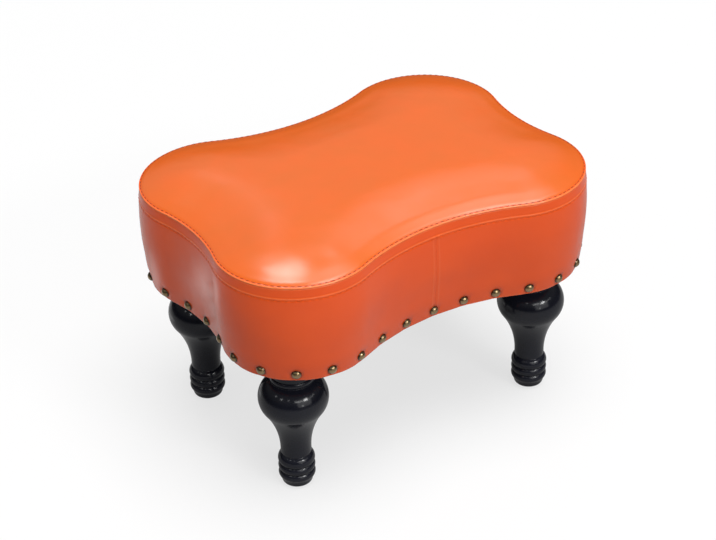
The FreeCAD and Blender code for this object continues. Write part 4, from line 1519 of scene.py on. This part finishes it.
def make_lamps():
    key = add_lamp("key", "SUN", *KEY_PLACE, energy=settings().stage.key, angle=KEY_SPREAD)
    key.visible_glossy = False
    for name, (azimuth, elevation, width, height, brightness) in LAMPS.items():
        across, up = (2 * LAMP_DISTANCE * math.tan(math.radians(angle) / 2) for angle in (width, height))
        power = brightness * math.pi * across * up
        lamp = add_lamp(name, "AREA", azimuth, elevation, energy=power,
                        shape="RECTANGLE", size=across, size_y=up)
        lamp.visible_diffuse = name not in REFLECTED_CARDS


def make_camera():
    stage = settings().stage
    back = bearing(stage.azimuth, stage.elevation)
    right = (-back).cross(UP).normalized()
    up = right.cross(-back)
    tilted_right = right * math.cos(stage.roll) + up * math.sin(stage.roll)
    tilted_up = up * math.cos(stage.roll) - right * math.sin(stage.roll)
    data = bpy.data.cameras.new("camera")
    data.lens = stage.lens
    data.clip_end = 50.0
    camera = linked("camera", data)
    place = Vector(stage.target) + back * stage.distance
    camera.matrix_world = frame_matrix(tilted_right, tilted_up, back, place)
    bpy.context.scene.camera = camera


# Operators, one for each piece or group of like pieces

class FOOTSTOOL_OT_top_panel(Operator):
    """Makes the crowned leather top"""
    bl_idname = "footstool.top_panel"
    bl_label = "Top Panel"

    def execute(self, context):
        panel = finish_piece(make_top_panel(), "orange_leather", "cover_top_panel")
        return {"FINISHED"}


class FOOTSTOOL_OT_side_bands(Operator):
    """Makes the two halves of the side band"""
    bl_idname = "footstool.side_bands"
    bl_label = "Side Bands"

    def execute(self, context):
        for name, side in (("left", -1), ("right", 1)):
            band = finish_piece(make_band(f"band_{name}", side), "orange_leather", f"cover_band_{name}")
        return {"FINISHED"}


class FOOTSTOOL_OT_stitches(Operator):
    """Sews the seams"""
    bl_idname = "footstool.stitches"
    bl_label = "Stitches"

    def execute(self, context):
        seams = settings().seams
        band = BandSurface()
        level = band.height - seams.strip - seams.band_row
        top_row = make_stitches("top_seam_stitches", PanelSurface(), seams.top_row, seams.top_row * 0.6, 0.35)
        finish_piece(top_row, "dark_thread", slot="orange_leather")
        band_row = make_stitches("band_stitches", band, level, 0.0, 0.2)
        finish_piece(band_row, "light_thread", slot="orange_leather")
        return {"FINISHED"}


class FOOTSTOOL_OT_nails(Operator):
    """Drives the row of dome nails"""
    bl_idname = "footstool.nails"
    bl_label = "Nails"

    def execute(self, context):
        finish_piece(make_nails(), "antique_brass", "upholstery_nails")
        return {"FINISHED"}


class FOOTSTOOL_OT_legs(Operator):
    """Turns the four legs"""
    bl_idname = "footstool.legs"
    bl_label = "Legs"

    def execute(self, context):
        for leg, node in make_legs():
            finish_piece(leg, "black_lacquer", node)
        return {"FINISHED"}


class FOOTSTOOL_OT_inner_pads(Operator):
    """Makes the foam and the wadding under the leather"""
    bl_idname = "footstool.inner_pads"
    bl_label = "Inner Pads"

    def execute(self, context):
        kinds = [("firm_foam", "firm_foam", 1.0), ("soft_foam", "top_foam", 0.9),
                 ("polyester_wadding", "wadding", 0.8)]
        for pad, (finish, node, fill) in zip(make_pads(), kinds):
            finish_piece(pad, finish, node)
        return {"FINISHED"}


class FOOTSTOOL_OT_dust_cover(Operator):
    """Makes the sheet under the seat"""
    bl_idname = "footstool.dust_cover"
    bl_label = "Dust Cover"

    def execute(self, context):
        sheet, flat, area = make_dust_cover()
        finish_piece(sheet, "black_nonwoven", "dust_cover")
        return {"FINISHED"}


class FOOTSTOOL_OT_hardware(Operator):
    """Gives the board, fastenings and glides their finishes"""
    bl_idname = "footstool.hardware"
    bl_label = "Hardware"

    def execute(self, context):
        finishes = {"base_board": "plywood", "staples": "zinc_steel"}
        for name, _, _ in SIDES:
            finishes[f"hanger_bolt_{name}"] = "zinc_steel"
            finishes[f"t_nut_{name}"] = "zinc_steel"
            finishes[f"foot_glide_{name}"] = "black_nylon"
        for node, finish in finishes.items():
            give_finish(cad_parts[node], finish)
        return {"FINISHED"}


class FOOTSTOOL_OT_stage(Operator):
    """Sets the floor, the light and the camera"""
    bl_idname = "footstool.stage"
    bl_label = "Stage"

    def execute(self, context):
        make_floor()
        make_world()
        make_lamps()
        make_camera()
        context.scene.view_settings.view_transform = "Standard"
        return {"FINISHED"}


class FOOTSTOOL_PT_pieces(Panel):
    """Lists the pieces that can be made"""
    bl_label = "Footstool"
    bl_idname = "FOOTSTOOL_PT_pieces"
    bl_space_type = "VIEW_3D"
    bl_region_type = "UI"
    bl_category = "Footstool"

    def draw(self, context):
        for operator in OPERATORS:
            self.layout.operator(operator.bl_idname)


OPERATORS = [
    FOOTSTOOL_OT_top_panel,
    FOOTSTOOL_OT_side_bands,
    FOOTSTOOL_OT_stitches,
    FOOTSTOOL_OT_nails,
    FOOTSTOOL_OT_legs,
    FOOTSTOOL_OT_inner_pads,
    FOOTSTOOL_OT_dust_cover,
    FOOTSTOOL_OT_hardware,
    FOOTSTOOL_OT_stage,
]
GROUPS = [SeatSizes, SeamSizes, NailSizes, LegSizes, StageSettings, FinishColours, FootstoolSettings]
CLASSES = GROUPS + OPERATORS + [FOOTSTOOL_PT_pieces]


def register():
    for made in CLASSES:
        bpy.utils.register_class(made)
    bpy.types.Scene.footstool = PointerProperty(type=FootstoolSettings, name="Footstool",
                                                description="Sizes, colours and stage of the footstool")


def unregister():
    del bpy.types.Scene.footstool
    for made in reversed(CLASSES):
        bpy.utils.unregister_class(made)


def main():
    register()
    bpy.ops.footstool.stage()
    bpy.ops.footstool.top_panel()
    bpy.ops.footstool.side_bands()
    bpy.ops.footstool.stitches()
    bpy.ops.footstool.nails()
    bpy.ops.footstool.legs()
    bpy.ops.footstool.inner_pads()
    bpy.ops.footstool.dust_cover()
    bpy.ops.footstool.hardware()


if __name__ == "__main__":
    main()
